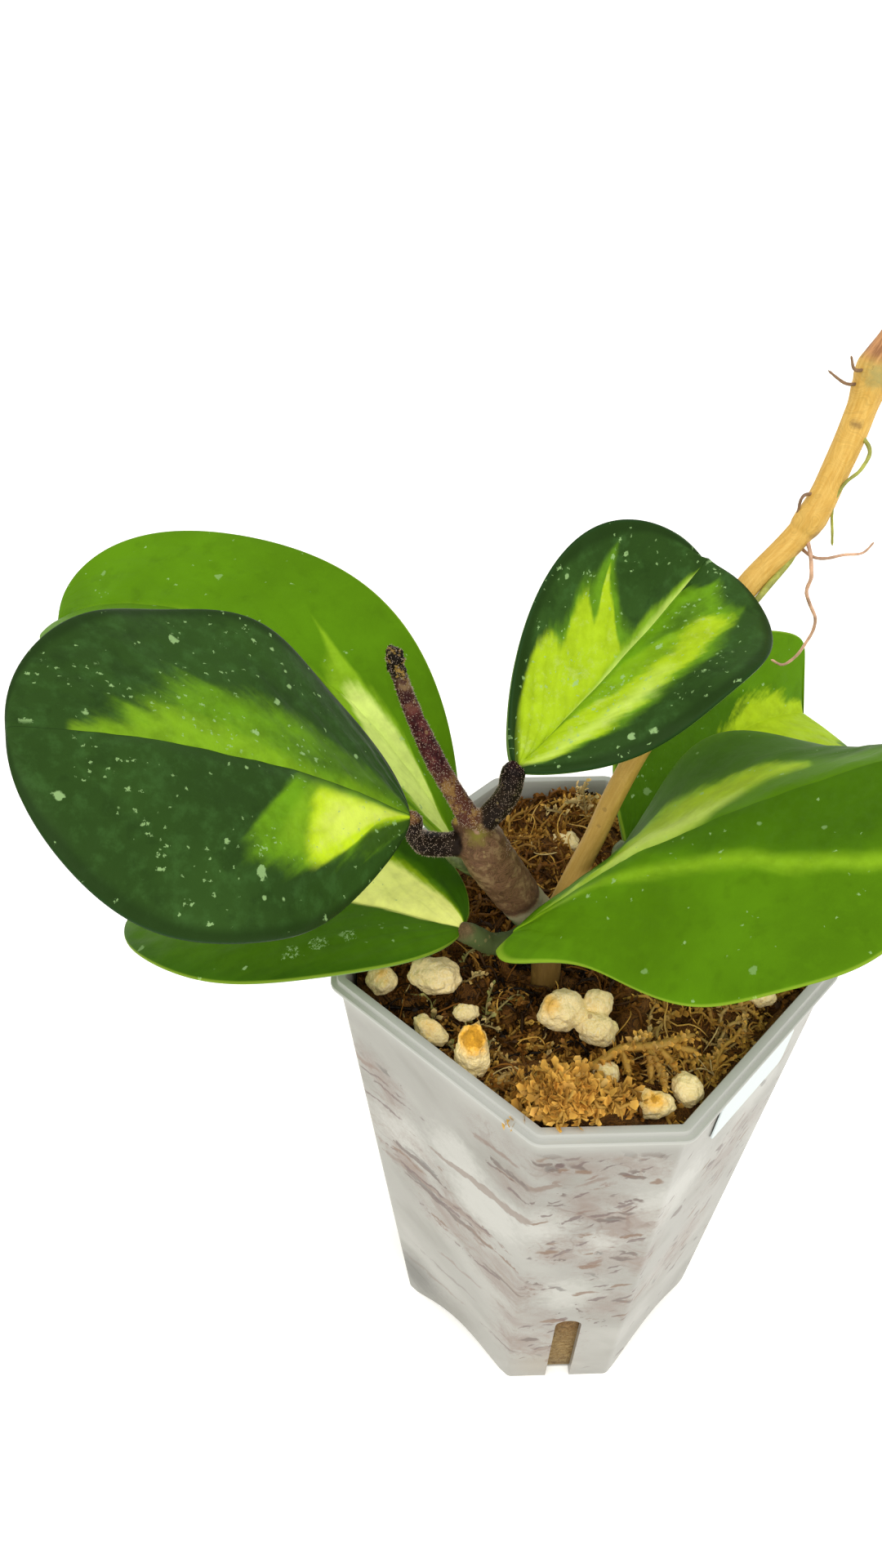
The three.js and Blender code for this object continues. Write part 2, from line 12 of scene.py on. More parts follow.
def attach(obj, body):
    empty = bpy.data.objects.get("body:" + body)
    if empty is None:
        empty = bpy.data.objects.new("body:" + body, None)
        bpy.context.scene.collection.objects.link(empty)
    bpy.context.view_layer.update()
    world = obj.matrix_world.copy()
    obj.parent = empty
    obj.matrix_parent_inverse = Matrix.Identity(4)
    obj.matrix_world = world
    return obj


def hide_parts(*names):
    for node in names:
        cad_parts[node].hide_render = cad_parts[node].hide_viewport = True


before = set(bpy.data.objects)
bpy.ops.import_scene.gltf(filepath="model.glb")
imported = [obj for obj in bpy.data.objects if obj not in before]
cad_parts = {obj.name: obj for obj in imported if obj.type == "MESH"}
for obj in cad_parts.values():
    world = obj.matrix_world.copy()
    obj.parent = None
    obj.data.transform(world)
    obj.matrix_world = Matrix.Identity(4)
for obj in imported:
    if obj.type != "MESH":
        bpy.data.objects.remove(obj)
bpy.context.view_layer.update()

bl_info = {
    "name": "Potted variegated hoya",
    "version": (1, 0, 0),
    "blender": (4, 5, 0),
    "location": "3D View > Sidebar > Hoya",
    "description": "Builds a variegated hoya in a square nursery pot, piece by piece",
    "category": "Add Mesh",
}

MM = 0.001
ORIGIN = (0.0, 0.0, 0.0)

# The view of the photo: place in millimetres, angles in degrees
CAMERA_PLACE = (-26.4, -125.8, 227.7)
CAMERA_AZIMUTH, CAMERA_ELEVATION, CAMERA_ROLL = -2.0, 39.3, 0.35
LENS, SENSOR = 26.29, 36
SUN_WAY, SUN_SPREAD = (0.15, 0.75, -1), 70
FLOOR_SIZE = 8000

# Pot, in millimetres
POT_HEIGHT = 95
BASE_WIDTH, BODY_TOP_WIDTH, BODY_TOP_Z = 53, 67.4, 93.4
BASE_CUT, TOP_CUT = 13.3, 14.2
LIP_WIDTH, BEAD_WIDTH = 70, 68
ARCH_WIDTH, ARCH_HEIGHT, ARCH_DEPTH = 21, 5.2, 5.5
SLOT_WIDTH, SLOT_HEIGHT = 4.6, 28
STICKER_WIDTH, STICKER_HEIGHT, STICKER_Z, STICKER_CORNER = 20, 9, 84.5, 1.2
MOSS_Z, MOSS_RIM_Z, MOSS_INSET = 89, 86, 1.5
YOUNG_LEAVES = ("leaf_front_left", "leaf_upper_right")

# Leaf blades: the same named sizes as the solids, in millimetres and degrees
LEAVES = {
    "leaf_front_left": dict(
        base=(-26.7, -11, 127.9), heading=209.5, rise=46.5, roll=-18.5, length=54.4,
        left=22.5, right=22, widest=0.56, base_round=0.57, tip_round=0.44, droop=29, twist=10,
        fold=(-14, 14.5), cup=(-12, 0), wave_left=(-1.2, 1.43, 30), wave_right=(-1.1, 2.1, -52),
        notch=0, lobe=0),
    "leaf_upper_right": dict(
        base=(-12.7, -10, 134.8), heading=42.5, rise=16.5, roll=-10, length=42,
        left=16.8, right=18, widest=0.63, base_round=0.44, tip_round=0.45, droop=-10.5, twist=11.5,
        fold=(39, 4.5), cup=(18.5, -3.5), wave_left=(0.2, 1.4, 0), wave_right=(-2.6, 1.13, 32.5),
        notch=-0.014, lobe=0),
    "leaf_low_left": dict(
        base=(-19, -9.1, 103.9), heading=158, rise=3.5, roll=11.5, length=58.5,
        left=21, right=21.5, widest=0.47, base_round=0.6, tip_round=0.56, droop=34, twist=-3,
        fold=(7.5, 13.5), cup=(-8, 1), wave_left=(0.6, 1.33, 17), wave_right=(0, 1, 0),
        notch=-0.02, lobe=0.01),
    "leaf_right": dict(
        base=(-11.9, -13.3, 107.5), heading=7.5, rise=42, roll=-41.5, length=64,
        left=28, right=30.8, widest=0.56, base_round=0.91, tip_round=0.47, droop=24.5, twist=3,
        fold=(8, -39), cup=(-0.5, 2), wave_left=(-5.2, 1.33, 26), wave_right=(-1.6, 1.6, -41),
        notch=-0.01, lobe=0.09),
    "leaf_rear_left": dict(
        base=(-20.4, 1.4, 111.6), heading=129, rise=48, roll=27, length=87,
        left=17.5, right=19, widest=0.58, base_round=0.52, tip_round=0.39, droop=82, twist=-29.5,
        fold=(12, 17), cup=(0, 3.5), wave_left=(0, 1, 0), wave_right=(-1.4, 1.47, 90),
        notch=0.05, lobe=0),
    "leaf_rear_right": dict(
        base=(9.5, 14.9, 98), heading=46, rise=31, roll=-11, length=53.8,
        left=19, right=19, widest=0.53, base_round=0.91, tip_round=0.1, droop=57.5, twist=29,
        fold=(29.5, 11.5), cup=(11, 0), wave_left=(-1.5, 0.87, -89), wave_right=(0, 1, 0),
        notch=0.02, lobe=0),
}

# Stems: x, y, z, radius in millimetres
CANE = [
    (-5.6, -6.4, 76, 2.2), (-5.6, -6, 86.4, 2.3), (-5.4, -4.2, 95, 2.4), (-5, -3.2, 98.6, 2.7),
    (-3.2, -1.4, 102.6, 1.8), (1.3, 1, 113.9, 1.6), (5.5, 4, 123.9, 1.6), (14, 10, 136.2, 1.6),
    (22.4, 17, 146.7, 1.75), (28.6, 20, 152.1, 1.9), (30.2, 20.6, 154.4, 2.2), (32.9, 22.5, 159.8, 2),
    (35.9, 25.5, 168.4, 2.05), (37, 26.5, 173.4, 2.7), (39.4, 28.5, 178.6, 1.7), (43.4, 31.5, 188, 1.45),
    (47, 34, 197, 1.4),
]
CANE_JOINTS = ((-5, -3.2, 98.6), (30.2, 20.6, 154.4), (37, 26.5, 173.4))
# Brown marks on the bark: place and reach
SCARS = (
    ((30.4, 20.9, 153.6), 2.6), ((31.2, 19.6, 153.2), 1.5), ((28.6, 19, 150), 1.2),
    ((33.2, 22.8, 161.6), 1.4), ((28.8, 19.2, 151.2), 1.5), ((36.6, 25.2, 171.2), 1.6),
    ((34.8, 23.2, 167.4), 1.2), ((-5, -3.2, 98.6), 3),
)
DRY_SCALE = [
    (31.8, 21.4, 156.2, 0.5), (30.9, 20.2, 155, 0.8), (30.4, 19.6, 153.8, 0.6), (30.2, 19.4, 152.6, 0.2),
]
OLIVE_STRIP = [
    (29.4, 19.2, 151.4, 0.2), (27.4, 17.6, 149.4, 0.45), (24.6, 15.8, 146.8, 0.5), (21.6, 13.9, 143.6, 0.4),
    (19.8, 12.8, 141.6, 0.15),
]
AERIAL_ROOTS = [
    (0.27, "pink", [(30, 20.6, 153), (30.3, 18, 151.4), (30.8, 16.5, 148.2), (30.7, 16.5, 145.4),
                    (33, 16.5, 140.6), (32.5, 16.5, 137.4), (31, 16.5, 134.2), (29.6, 16.5, 133.2),
                    (27.7, 16.5, 134.1)]),
    (0.22, "pink", [(29.6, 20.4, 150.6), (31.5, 17.6, 150.3), (35, 16.5, 151.4), (37.4, 16.5, 151.7),
                    (38.5, 16.5, 153.3)]),
    (0.27, "olive", [(35.2, 25, 166.6), (36.9, 21.6, 164.2), (35.8, 20.6, 162.1), (33.9, 20.5, 159.9),
                    (33, 20.2, 157), (33.6, 20.2, 153.9), (34.3, 20.2, 150.9)]),
    (0.24, "dry", [(36.4, 26.2, 172), (33, 25.4, 172.2), (29.8, 24.5, 174.3)]),
    (0.24, "dry", [(36.4, 26.2, 174), (33.6, 25, 174.2), (32.4, 24.5, 176.2)]),
    (0.26, "dry", [(32, 22.2, 157.6), (28.9, 21, 158.2), (28.4, 20.7, 155.4)]),
]
SHOOT = [
    (-5.6, -4.4, 99, 2.6), (-7.3, -5, 102.4, 3.1), (-9.2, -5.6, 105.4, 3.3), (-12.2, -6.6, 111, 3.4),
    (-15.2, -7.6, 117, 3.6), (-16.6, -8, 120.4, 3.5), (-17.6, -8, 123, 2.6),
]
# Buds at the upper joint, the lumps of the withered tip, then the swollen joint: centre and half sizes
SHOOT_LUMPS = (
    ((-17.3, -9.5, 124.2), (0.5, 0.5, 0.55)), ((-20.0, -6.4, 122.8), (0.8, 0.7, 1.0)),
    ((-27.9, -5.2, 149.2), (1.05, 0.95, 1.0)), ((-28.5, -4.8, 150.4), (0.7, 0.7, 0.6)),
    ((-27.5, -5.5, 147.4), (0.95, 0.9, 0.9)), ((-27.5, -5.3, 150.3), (0.6, 0.6, 0.5)),
    ((-16.8, -8, 120.9), (3.6, 3.2, 2.1)),
)
# Where the dark leaf stalks run, place and reach
DARK_STALKS = (
    ((-22.4, -9.2, 121.4), 3.6), ((-25.8, -10.4, 124.6), 3.8), ((-14.8, -8.8, 127.2), 3.3),
    ((-13, -9.8, 132.6), 4.2),
)
LOWER_JOINT = (-5.2, -4.4, 98.2)
# The flower stalk: its middle, where it withers, where its hairs start and what lies on either side of it
STALK_MIDDLE, WITHERED_Z, HAIRY_Z, STALK_SIDE_X = (-22, -7, 133), 146, 124.5, -20
FLOWER_STALK = [
    (-16.8, -8, 121, 2.2), (-18.4, -7.8, 125, 1.6), (-20.6, -7.4, 129.4, 1.42), (-23, -7, 134.4, 1.36),
    (-25.9, -6, 141.6, 1.14), (-27.6, -5.2, 147, 1), (-28, -5, 148.6, 1.2), (-28.2, -5, 150.3, 0.85),
]
STALKS = {
    "leaf_front_left": [(-16.6, -8, 120, 2), (-20.9, -8.2, 120.5, 1.75), (-24.2, -9.1, 121.6, 1.75),
                        (-26, -10.2, 124.4, 1.2)],
    "leaf_upper_right": [(-17.2, -8, 122, 1.9), (-16.7, -8.6, 124.5, 1.75), (-15, -8.9, 127.2, 1.7),
                         (-13.4, -9.2, 130.4, 1.65)],
    "leaf_low_left": [(-7.6, -5.8, 101.6, 2), (-10.4, -7.2, 99.8, 1.9), (-14.4, -8.2, 100.2, 1.7)],
    "leaf_right": [(-6.6, -5.2, 101, 1.9), (-6.4, -7.6, 101.6, 1.7)],
    "leaf_rear_left": [(-6, 4.4, 80, 1.8), (-6.4, 4, 88.5, 1.8), (-8.6, 3.4, 95, 1.7),
                       (-14.2, 2.4, 104, 1.7)],
    "leaf_rear_right": [(13.4, 13, 80, 1.8), (12.6, 13.4, 88, 1.8), (10.6, 14, 94, 1.7)],
}

# Mounds and hollows of the moss: x, y, rise, spread
MOUNDS = [
    (-4.5, -33, 6, 4.2), (1.5, -33.5, 4, 3.5), (8, -23, 2.6, 4), (-10, -27, 2, 5), (-5.8, 17, 6, 6),
    (5, 29, 6.5, 5), (-3, 33, 3, 4), (-17, 6, 2, 6), (18, -10, 2, 6), (22, 6, 2.5, 6), (-24, 2, 2, 5),
    (-12, -15, -2.6, 4.5), (4, -20, -2.4, 4), (14, -20, -2.4, 5), (-27, -12, -2, 4), (2, 4, -2, 6),
]

# Where the moss is dry and golden: x, y, reach, strength
GOLDEN_PLACES = [
    (-5, -32, 6, 0.4), (-11, -25, 6, 0.4), (12, -22, 7, 0.4), (22, -15, 8, 0.5), (15, -14, 5, 0.3),
    (-11, -18, 5, 0.3), (-10, 22, 12, 0.32), (8, 28, 9, 0.35), (22, 14, 8, 0.2), (-26, -2, 5, 0.2),
]

# Golden clump at the front rim: x, y. Yellow branch and pale sprig: the stem, then its arms
CLUMP = (-5.4, -32.8)
BRANCH = [
    [(-2.2, -26, 92.4), (0.8, -24.8, 93.6), (3.4, -23.4, 94.2), (7.6, -23.4, 94.4), (11, -22.4, 94.2),
     (14.6, -20.7, 93.4)],
    [(7.4, -23.4, 94.2), (8.2, -25.4, 93.6), (8.8, -27.4, 92.8), (9.1, -28.8, 91.6)],
    [(7.2, -23.6, 94.2), (7.4, -25.6, 93.4), (7, -27.6, 92.4)],
    [(8.2, -23.2, 94.2), (10, -24.6, 93.4), (11.2, -26.4, 92.4)],
    [(3.2, -23.4, 94), (4, -25.2, 93), (4.2, -26.8, 92)],
    [(10.6, -22.4, 94), (12.6, -23.2, 93.4), (14.6, -23, 92.6)],
    [(5.4, -23.4, 94.2), (6, -21.6, 94), (7.4, -20.2, 93)],
]
SPRIG = [
    [(4.9, 26.4, 94), (4.4, 27.2, 97), (3.8, 28, 99.4), (4.4, 28.4, 101.4)],
    [(4.3, 27.2, 96.6), (2.4, 27, 98), (0.6, 26.6, 98.4)],
    [(4.2, 27.4, 97.4), (6, 27.6, 98.6)],
    [(3.9, 27.8, 99), (2.6, 28.2, 100.4)],
    [(1.6, 26.4, 95), (-0.8, 26, 96.8), (-2.6, 25.6, 97.4)],
]
# One leaflet of a strand: its faces, and how light each of its six points is
LEAFLET_FACES = ((0, 5, 3), (0, 1, 5), (1, 2, 5), (3, 5, 4), (5, 2, 4))
LEAFLET_LIGHT = (0.2, 0.2, 0.6, 0.6, 1, 0.45)

# Perlite crumbs: centre, half sizes, turn about Z, lean, then how strongly it is stained.
# The joined ones make one crumb with three lobes.
PERLITE = [
    ((-31.2, -7, 91.2), (2.7, 2.7, 2.3), 20, 0, 0.9),
    ((-23, -6.6, 91.6), (4.7, 3.4, 3), -15, 8, 0.25),
    ((-18.4, -13, 90.2), (2.3, 1.7, 1.4), 10, 0, 0),
    ((-24, -16.6, 90.6), (1.9, 3.6, 1.9), 50, 10, 0.5),
    ((-18, -22.7, 93.2), (2.8, 3.1, 5.2), 10, -14, 1),
    ((-4.2, -15.4, 93.2), (4.1, 3.3, 3.8), 25, 0, 0.8),
    ((0.9, -17.6, 91.4), (3.4, 2.9, 2.9), -30, 0, 0.3),
    ((0.8, -26.2, 91.8), (2.4, 2.4, 2.4), 15, 20, 0.3),
    ((4.4, -29, 91), (1.4, 1.3, 1.3), 0, 0, 0.2),
    ((12.2, -28.8, 91.6), (2.5, 2.9, 2.4), 30, 0, 0.2),
    ((6.6, -31.6, 92.4), (3.6, 2.2, 2.2), -5, 0, 1),
    ((27, -11.6, 91.4), (2.5, 2.3, 2), 0, 0, 0.3),
    ((0.4, 22.4, 92.2), (3.3, 2.7, 2.4), 20, 0, 0.3),
    ((1.4, -14, 93), (2.6, 2.3, 2.6), 0, 0, 0.2),
]
JOINED_CRUMBS = (5, 6, 13)

# Where the young leaves and the older leaves are splashed. Each layer names its colour, its half of the
# blade, what its curves read (the place along the blade or the side vein), how far out it reaches,
# where it starts, how ragged and how soft its border is, and how strong it is.
# Some layers also carry painted shade or painted light, as noted at each.
MARKINGS = {
    "leaf_front_left": [
        ("mid", "right", "vein",
         [(0, 0.1), (0.25, 0.24), (0.276, 0.3), (0.348, 0.34), (0.396, 0.38), (0.474, 0.4), (0.562, 0.38),
          (0.589, 0.46), (0.624, 0.43), (0.68, 0.28), (0.727, 0.28), (0.745, 0.2), (0.769, 0.26),
          (0.812, 0.12), (0.887, 0.03), (0.91, 0), (1, 0)], None, 0.14, 0.2, 0.85),
        ("fresh", "right", "along",
         [(0, 0.04), (0.16, 0.1), (0.3, 0.04), (0.42, 0.1), (0.5, 0.2), (0.62, 0.21), (0.76, 0.17),
          (0.84, 0.07), (0.9, 0), (1, 0)], None, 0.18, 0.16, 0.6),
        ("deep", "right", "vein",
         [(0, 0.4), (0.3, 0.42), (0.45, 0.36), (0.52, 0.26), (0.56, 0.1), (0.6, 0), (1, 0)],
         [(0, 0.03), (0.5, 0.07), (1, 0.1)], 0.3, 0.24, 0.5),
        ("mid", "left", "vein",
         [(0, 0), (0.25, 0.24), (0.3, 0.36), (0.34, 0.54), (0.388, 0.6), (0.44, 0.56), (0.491, 0.54),
          (0.534, 0.43), (0.554, 0.26), (0.568, 0.1), (0.585, 0), (1, 0)],
         [(0, 0.01), (0.5, 0.03), (1, 0.03)], 0.1, 0.16, 0.95),
        ("fresh", "left", "vein",
         [(0, 0.2), (0.25, 0.34), (0.33, 0.54), (0.388, 0.56), (0.44, 0.5), (0.48, 0.44), (0.51, 0.28),
          (0.53, 0.14), (0.55, 0), (1, 0)],
         [(0, 0.03), (0.5, 0.05), (1, 0.05)], 0.08, 0.16, 0.6),
        ("yellow", "left", "vein",
         [(0, 0.16), (0.246, 0.26), (0.275, 0.3), (0.298, 0.34), (0.322, 0.5), (0.35, 0.6), (0.388, 0.54),
          (0.43, 0.43), (0.469, 0.3), (0.505, 0.17), (0.525, 0.06), (0.54, 0), (1, 0)],
         [(0, 0.06), (0.3, 0.09), (0.6, 0.08), (1, 0.08)], 0.05, 0.1, 1.0),
        ("mid", "left", "vein",
         [(0, 0.6), (0.27, 0.6), (0.3, 0.56), (0.32, 0.46), (0.332, 0.1), (0.34, 0), (1, 0)],
         [(0, 0.08), (0.26, 0.12), (0.3, 0.22), (0.34, 0.3), (1, 0.4)], 0.14, 0.14, 0.75),
        ("deep", "left", "vein",
         [(0, 0.6), (0.26, 0.6), (0.3, 0.54), (0.318, 0.44), (0.326, 0), (1, 0)],
         [(0, 0.2), (0.26, 0.24), (0.3, 0.34), (0.34, 0.4), (1, 0.4)], 0.12, 0.14, 0.8),
        ("pale", "left", "vein",
         [(0, 0), (0.31, 0), (0.34, 0.3), (0.36, 0.44), (0.388, 0.42), (0.43, 0.32), (0.469, 0.18),
          (0.5, 0.04), (0.52, 0), (1, 0)],
         [(0, 0.09), (0.3, 0.12), (0.6, 0.11), (1, 0.11)], 0.14, 0.2, 0.35),
    ],
    "leaf_upper_right": [
        ("mid", "left", "vein",
         [(0, 0.4), (0.36, 0.72), (0.42, 0.6), (0.49, 0.68), (0.55, 0.62), (0.592, 0.8), (0.63, 0.5),
          (0.67, 0.24), (0.72, 0.08), (0.8, 0.02), (1, 0)], None, 0.1, 0.16, 0.75),
        ("lime", "left", "vein",
         [(0, 0.8), (0.14, 0.8), (0.226, 0.81), (0.3, 0.77), (0.368, 0.7), (0.41, 0.56), (0.435, 0.55),
          (0.487, 0.65), (0.53, 0.61), (0.56, 0.42), (0.576, 0.46), (0.592, 0.66), (0.61, 0.52),
          (0.632, 0.38), (0.652, 0.2), (0.668, 0.1), (0.7, 0.02), (1, 0)], None, 0.07, 0.09, 1.0),
        ("mid", "right", "vein",
         [(0, 0.4), (0.27, 0.55), (0.31, 0.62), (0.39, 0.57), (0.46, 0.55), (0.57, 0.58), (0.64, 0.6),
          (0.69, 0.66), (0.715, 0.58), (0.75, 0.46), (0.8, 0.4), (0.84, 0.36), (0.865, 0.15), (0.9, 0),
          (1, 0)], None, 0.1, 0.16, 0.9),
        ("lime", "right", "vein",
         [(0, 0.46), (0.27, 0.5), (0.309, 0.56), (0.384, 0.51), (0.463, 0.48), (0.506, 0.51), (0.567, 0.52),
          (0.644, 0.54), (0.688, 0.58), (0.71, 0.5), (0.74, 0.34), (0.78, 0.16), (0.82, 0), (1, 0)],
         [(0, 0), (0.5, 0), (0.64, 0.03), (0.7, 0.2), (0.76, 0.3), (1, 0.4)], 0.13, 0.12, 1.0),
        ("mid", "right", "vein",
         [(0, 0), (0.44, 0), (0.5, 0.16), (0.58, 0.3), (0.66, 0.34), (0.74, 0.32), (0.8, 0.2), (0.84, 0),
          (1, 0)], None, 0.2, 0.14, 0.75),
        ("deep", "right", "vein",
         [(0, 0), (0.66, 0), (0.7, 0.2), (0.76, 0.34), (0.8, 0.3), (0.84, 0)],
         [(0, 0.1), (1, 0.14)], 0.16, 0.14, 0.5),
        ("fresh", "left", "along",
         [(0, 0), (0.36, 0.02), (0.5, 0.07), (0.66, 0.1), (0.82, 0.1), (0.92, 0.06), (0.97, 0), (1, 0)],
         None, 0.05, 0.07, 0.8),
        ("cream", "left", "along",
         [(0, 0), (0.3, 0.02), (0.5, 0.04), (0.7, 0.055), (0.85, 0.05), (0.93, 0.02), (0.96, 0), (1, 0)],
         None, 0.04, 0.06, 0.5),
        ("cream", "right", "vein",
         [(0, 0.46), (0.27, 0.47), (0.4, 0.48), (0.5, 0.48), (0.57, 0.38), (0.64, 0.1), (0.68, 0), (1, 0)],
         [(0, 0.32), (0.4, 0.34), (1, 0.4)], 0.14, 0.18, 0.45),
    ],
    "leaf_low_left": [
        ("mid", "left", "vein",
         [(0, 0.9), (0.5, 0.9), (1, 0.7)], None, 0.2, 0.3, 0.45),
        ("mid", "right", "vein",
         [(0, 0.5), (0.2, 0.56), (0.3, 0.66), (0.4, 0.74), (0.6, 0.62), (0.8, 0.4), (1, 0.1)],
         None, 0.08, 0.14, 1.0),
        ("lime", "right", "vein",
         [(0, 0.4), (0.21, 0.48), (0.25, 0.51), (0.29, 0.55), (0.34, 0.6), (0.4, 0.66), (0.5, 0.54),
          (0.65, 0.38), (0.8, 0.18), (1, 0)], None, 0.08, 0.1, 0.9),
        # the pale layers: cream made brighter than its own colour, painted light where the leaf above shades
        # this blade
        ("pale", "right", "vein",
         [(0, 0.34), (0.21, 0.42), (0.25, 0.45), (0.29, 0.49), (0.34, 0.53), (0.4, 0.56), (0.5, 0.42),
          (0.65, 0.24), (0.8, 0.1), (1, 0)], None, 0.1, 0.1, 1.0),
        ("pale", "left", "along",
         [(0, 0.1), (0.2, 0.05), (0.5, 0.03), (0.8, 0.02), (1, 0)], None, 0.04, 0.06, 0.7),
    ],
    "leaf_right": [
        ("deep", "left", "along",
         [(0, 1.2), (1, 1.2)],
         [(0, 0.3), (0.3, 0.5), (0.5, 0.5), (0.8, 0.4), (1, 0.3)], 0.1, 0.3, 0.8),
        ("fresh", "left", "along",
         [(0, 0.02), (0.2, 0.04), (0.24, 0.1), (0.27, 0.22), (0.3, 0.37), (0.34, 0.5), (0.38, 0.56),
          (0.45, 0.5), (0.52, 0.47), (0.6, 0.46), (0.69, 0.45), (0.72, 0.39), (0.745, 0.2), (0.76, 0),
          (1, 0)],
         [(0, 0), (0.43, 0), (0.49, 0.05), (0.57, 0.17), (0.64, 0.24), (0.72, 0.32), (0.8, 0.4), (1, 0.4)],
         0.08, 0.12, 1.0),
        ("lime", "left", "along",
         [(0, 0), (0.24, 0.06), (0.3, 0.26), (0.34, 0.38), (0.4, 0.46), (0.52, 0.43), (0.6, 0.43),
          (0.69, 0.42), (0.72, 0.36), (0.74, 0), (1, 0)],
         [(0, 0), (0.43, 0), (0.49, 0.06), (0.57, 0.18), (0.64, 0.25), (0.72, 0.33), (0.8, 0.4), (1, 0.4)],
         0.16, 0.16, 0.95),
        ("cream", "left", "along",
         [(0, 0), (0.24, 0.04), (0.3, 0.16), (0.36, 0.22), (0.44, 0.22), (0.52, 0.22), (0.58, 0.2),
          (0.62, 0), (1, 0)],
         [(0, 0), (0.43, 0), (0.49, 0.06), (0.57, 0.18), (0.64, 0.25), (1, 0.4)], 0.14, 0.18, 0.55),
        # on the near half, a dark strip from the midrib out to the streak: painted shade where this half
        # turns away from the light
        ("deep", "right", "along",
         [(0, 0), (0.35, 0.02), (0.49, 0.2), (0.57, 0.26), (0.63, 0.35), (0.72, 0.42), (0.82, 0.5),
          (1, 0.8)], None, 0.1, 0.2, 0.6),
        ("fresh", "right", "along",
         [(0, 0.1), (0.25, 0.1), (0.34, 0.17), (0.49, 0.27), (0.57, 0.33), (0.63, 0.42), (0.72, 0.51),
          (0.82, 0.65), (1, 0.95)],
         [(0, 0.02), (0.25, 0.06), (0.34, 0.11), (0.49, 0.2), (0.57, 0.26), (0.63, 0.35), (0.72, 0.44),
          (0.82, 0.58), (1, 0.88)], 0.04, 0.1, 0.9),
    ],
    "leaf_rear_left": [
        ("fresh", "right", "vein",
         [(0, 0.02), (0.35, 0.1), (0.375, 0.24), (0.42, 0.27), (0.45, 0.26), (0.475, 0.31), (0.495, 0.42),
          (0.507, 0.32), (0.52, 0.2), (0.545, 0.12), (0.57, 0.02), (1, 0.01)], None, 0.07, 0.12, 1.0),
        ("cream", "right", "vein",
         [(0, 0), (0.35, 0.05), (0.375, 0.18), (0.42, 0.2), (0.45, 0.19), (0.475, 0.2), (0.5, 0.16),
          (0.53, 0.05), (0.55, 0), (1, 0)], None, 0.07, 0.1, 1.0),
        ("fresh", "left", "along",
         [(0, 0.9), (0.08, 0.88), (0.15, 0.82), (0.21, 0.6), (0.27, 0.4), (0.32, 0.2), (0.37, 0.03),
          (0.4, 0), (1, 0)], None, 0.08, 0.12, 0.9),
        ("cream", "left", "along",
         [(0, 0.76), (0.06, 0.78), (0.13, 0.7), (0.19, 0.48), (0.25, 0.28), (0.29, 0.14), (0.33, 0),
          (1, 0)], None, 0.08, 0.1, 0.95),
    ],
    "leaf_rear_right": [
        ("deep", "left", "along",
         [(0, 1.1), (0.4, 1.1), (0.6, 0.5), (0.8, 0), (1, 0)], None, 0.3, 0.4, 0.7),
        ("lime", "left", "along",
         [(0, 0), (0.5, 0), (0.6, 0.12), (0.7, 0.28), (0.8, 0.3), (0.9, 0.2), (1, 0.1)],
         None, 0.25, 0.2, 1.0),
        ("lime", "right", "along",
         [(0, 0), (0.5, 0.05), (0.62, 0.4), (0.75, 0.7), (0.9, 0.8), (1, 0.6)], None, 0.3, 0.2, 1.0),
    ],
}

PALETTE = ("deep", "mid", "fresh", "lime", "yellow", "cream", "pale")
# How thickly the small flecks lie. The older leaves have few.
FLECK_AMOUNTS = {"leaf_front_left": 1.0, "leaf_upper_right": 1.1}

# Large silver flecks: the place along the blade, the place across it and the radius in millimetres
BIG_FLECKS = {
    "leaf_front_left": [
        (0.64, -0.74, 0.68), (0.82, -0.54, 0.41), (0.85, -0.15, 0.35), (0.91, 0.56, 0.54),
        (0.71, 0.42, 0.35), (0.49, 0.64, 0.73), (0.41, -0.44, 0.5), (0.51, 0.06, 0.28),
        (0.37, -0.62, 0.36), (0.8, 0.46, 0.21), (0.58, 0.54, 0.31), (0.57, 0.63, 0.31),
        (0.48, 0.77, 0.32), (0.43, 0.78, 0.23), (0.19, -0.39, 0.37), (0.41, -0.83, 0.31),
        (0.38, -0.71, 0.31),
    ],
    "leaf_upper_right": [
        (0.59, -0.68, 0.47), (0.34, -0.84, 0.52), (0.29, -0.76, 0.52), (0.57, 0.85, 0.33),
        (0.7, -0.73, 0.48), (0.22, 0.81, 0.38), (0.62, 0.38, 0.28), (0.87, 0.64, 0.22),
    ],
    "leaf_low_left": [
        (0.81, 0.92, 0.62), (0.26, 0.52, 0.47), (0.3, 0.63, 1.3), (0.35, 0.74, 1.2), (0.24, 0.52, 1.1),
    ],
    "leaf_rear_left": [
        (0.66, -0.45, 0.6), (0.9, -0.56, 0.62),
    ],
    "leaf_right": [
        (0.28, -0.83, 0.51), (0.51, -0.87, 0.52), (0.49, 0.89, 0.38), (0.72, -0.27, 0.36),
        (0.6, -0.13, 0.32),
    ],
    "leaf_rear_right": [
        (0.18, 0.29, 0.69),
    ],
}


def tone(text):
    """Linear colour from a six digit web colour."""
    parts = [int(text[i:i + 2], 16) / 255 for i in (0, 2, 4)]
    return tuple(p / 12.92 if p <= 0.04045 else ((p + 0.055) / 1.055) ** 2.4 for p in parts)


def shaded(colour, share):
    """A colour made darker or lighter."""
    return tuple(share * c for c in colour)


def colour_property(name, description, text):
    return FloatVectorProperty(name=name, description=description, default=tone(text),
                               subtype="COLOR", size=3, min=0, max=1)


def length_property(name, description, millimetres):
    return FloatProperty(name=name, description=description, default=millimetres * MM,
                         subtype="DISTANCE", unit="LENGTH", min=0, precision=5)


def count_property(name, description, number, most):
    return IntProperty(name=name, description=description, default=number, min=0, max=most)


def strength_property(name, description, strength, most):
    return FloatProperty(name=name, description=description, default=strength, min=0, max=most)


# Sizes and colours that a user would change

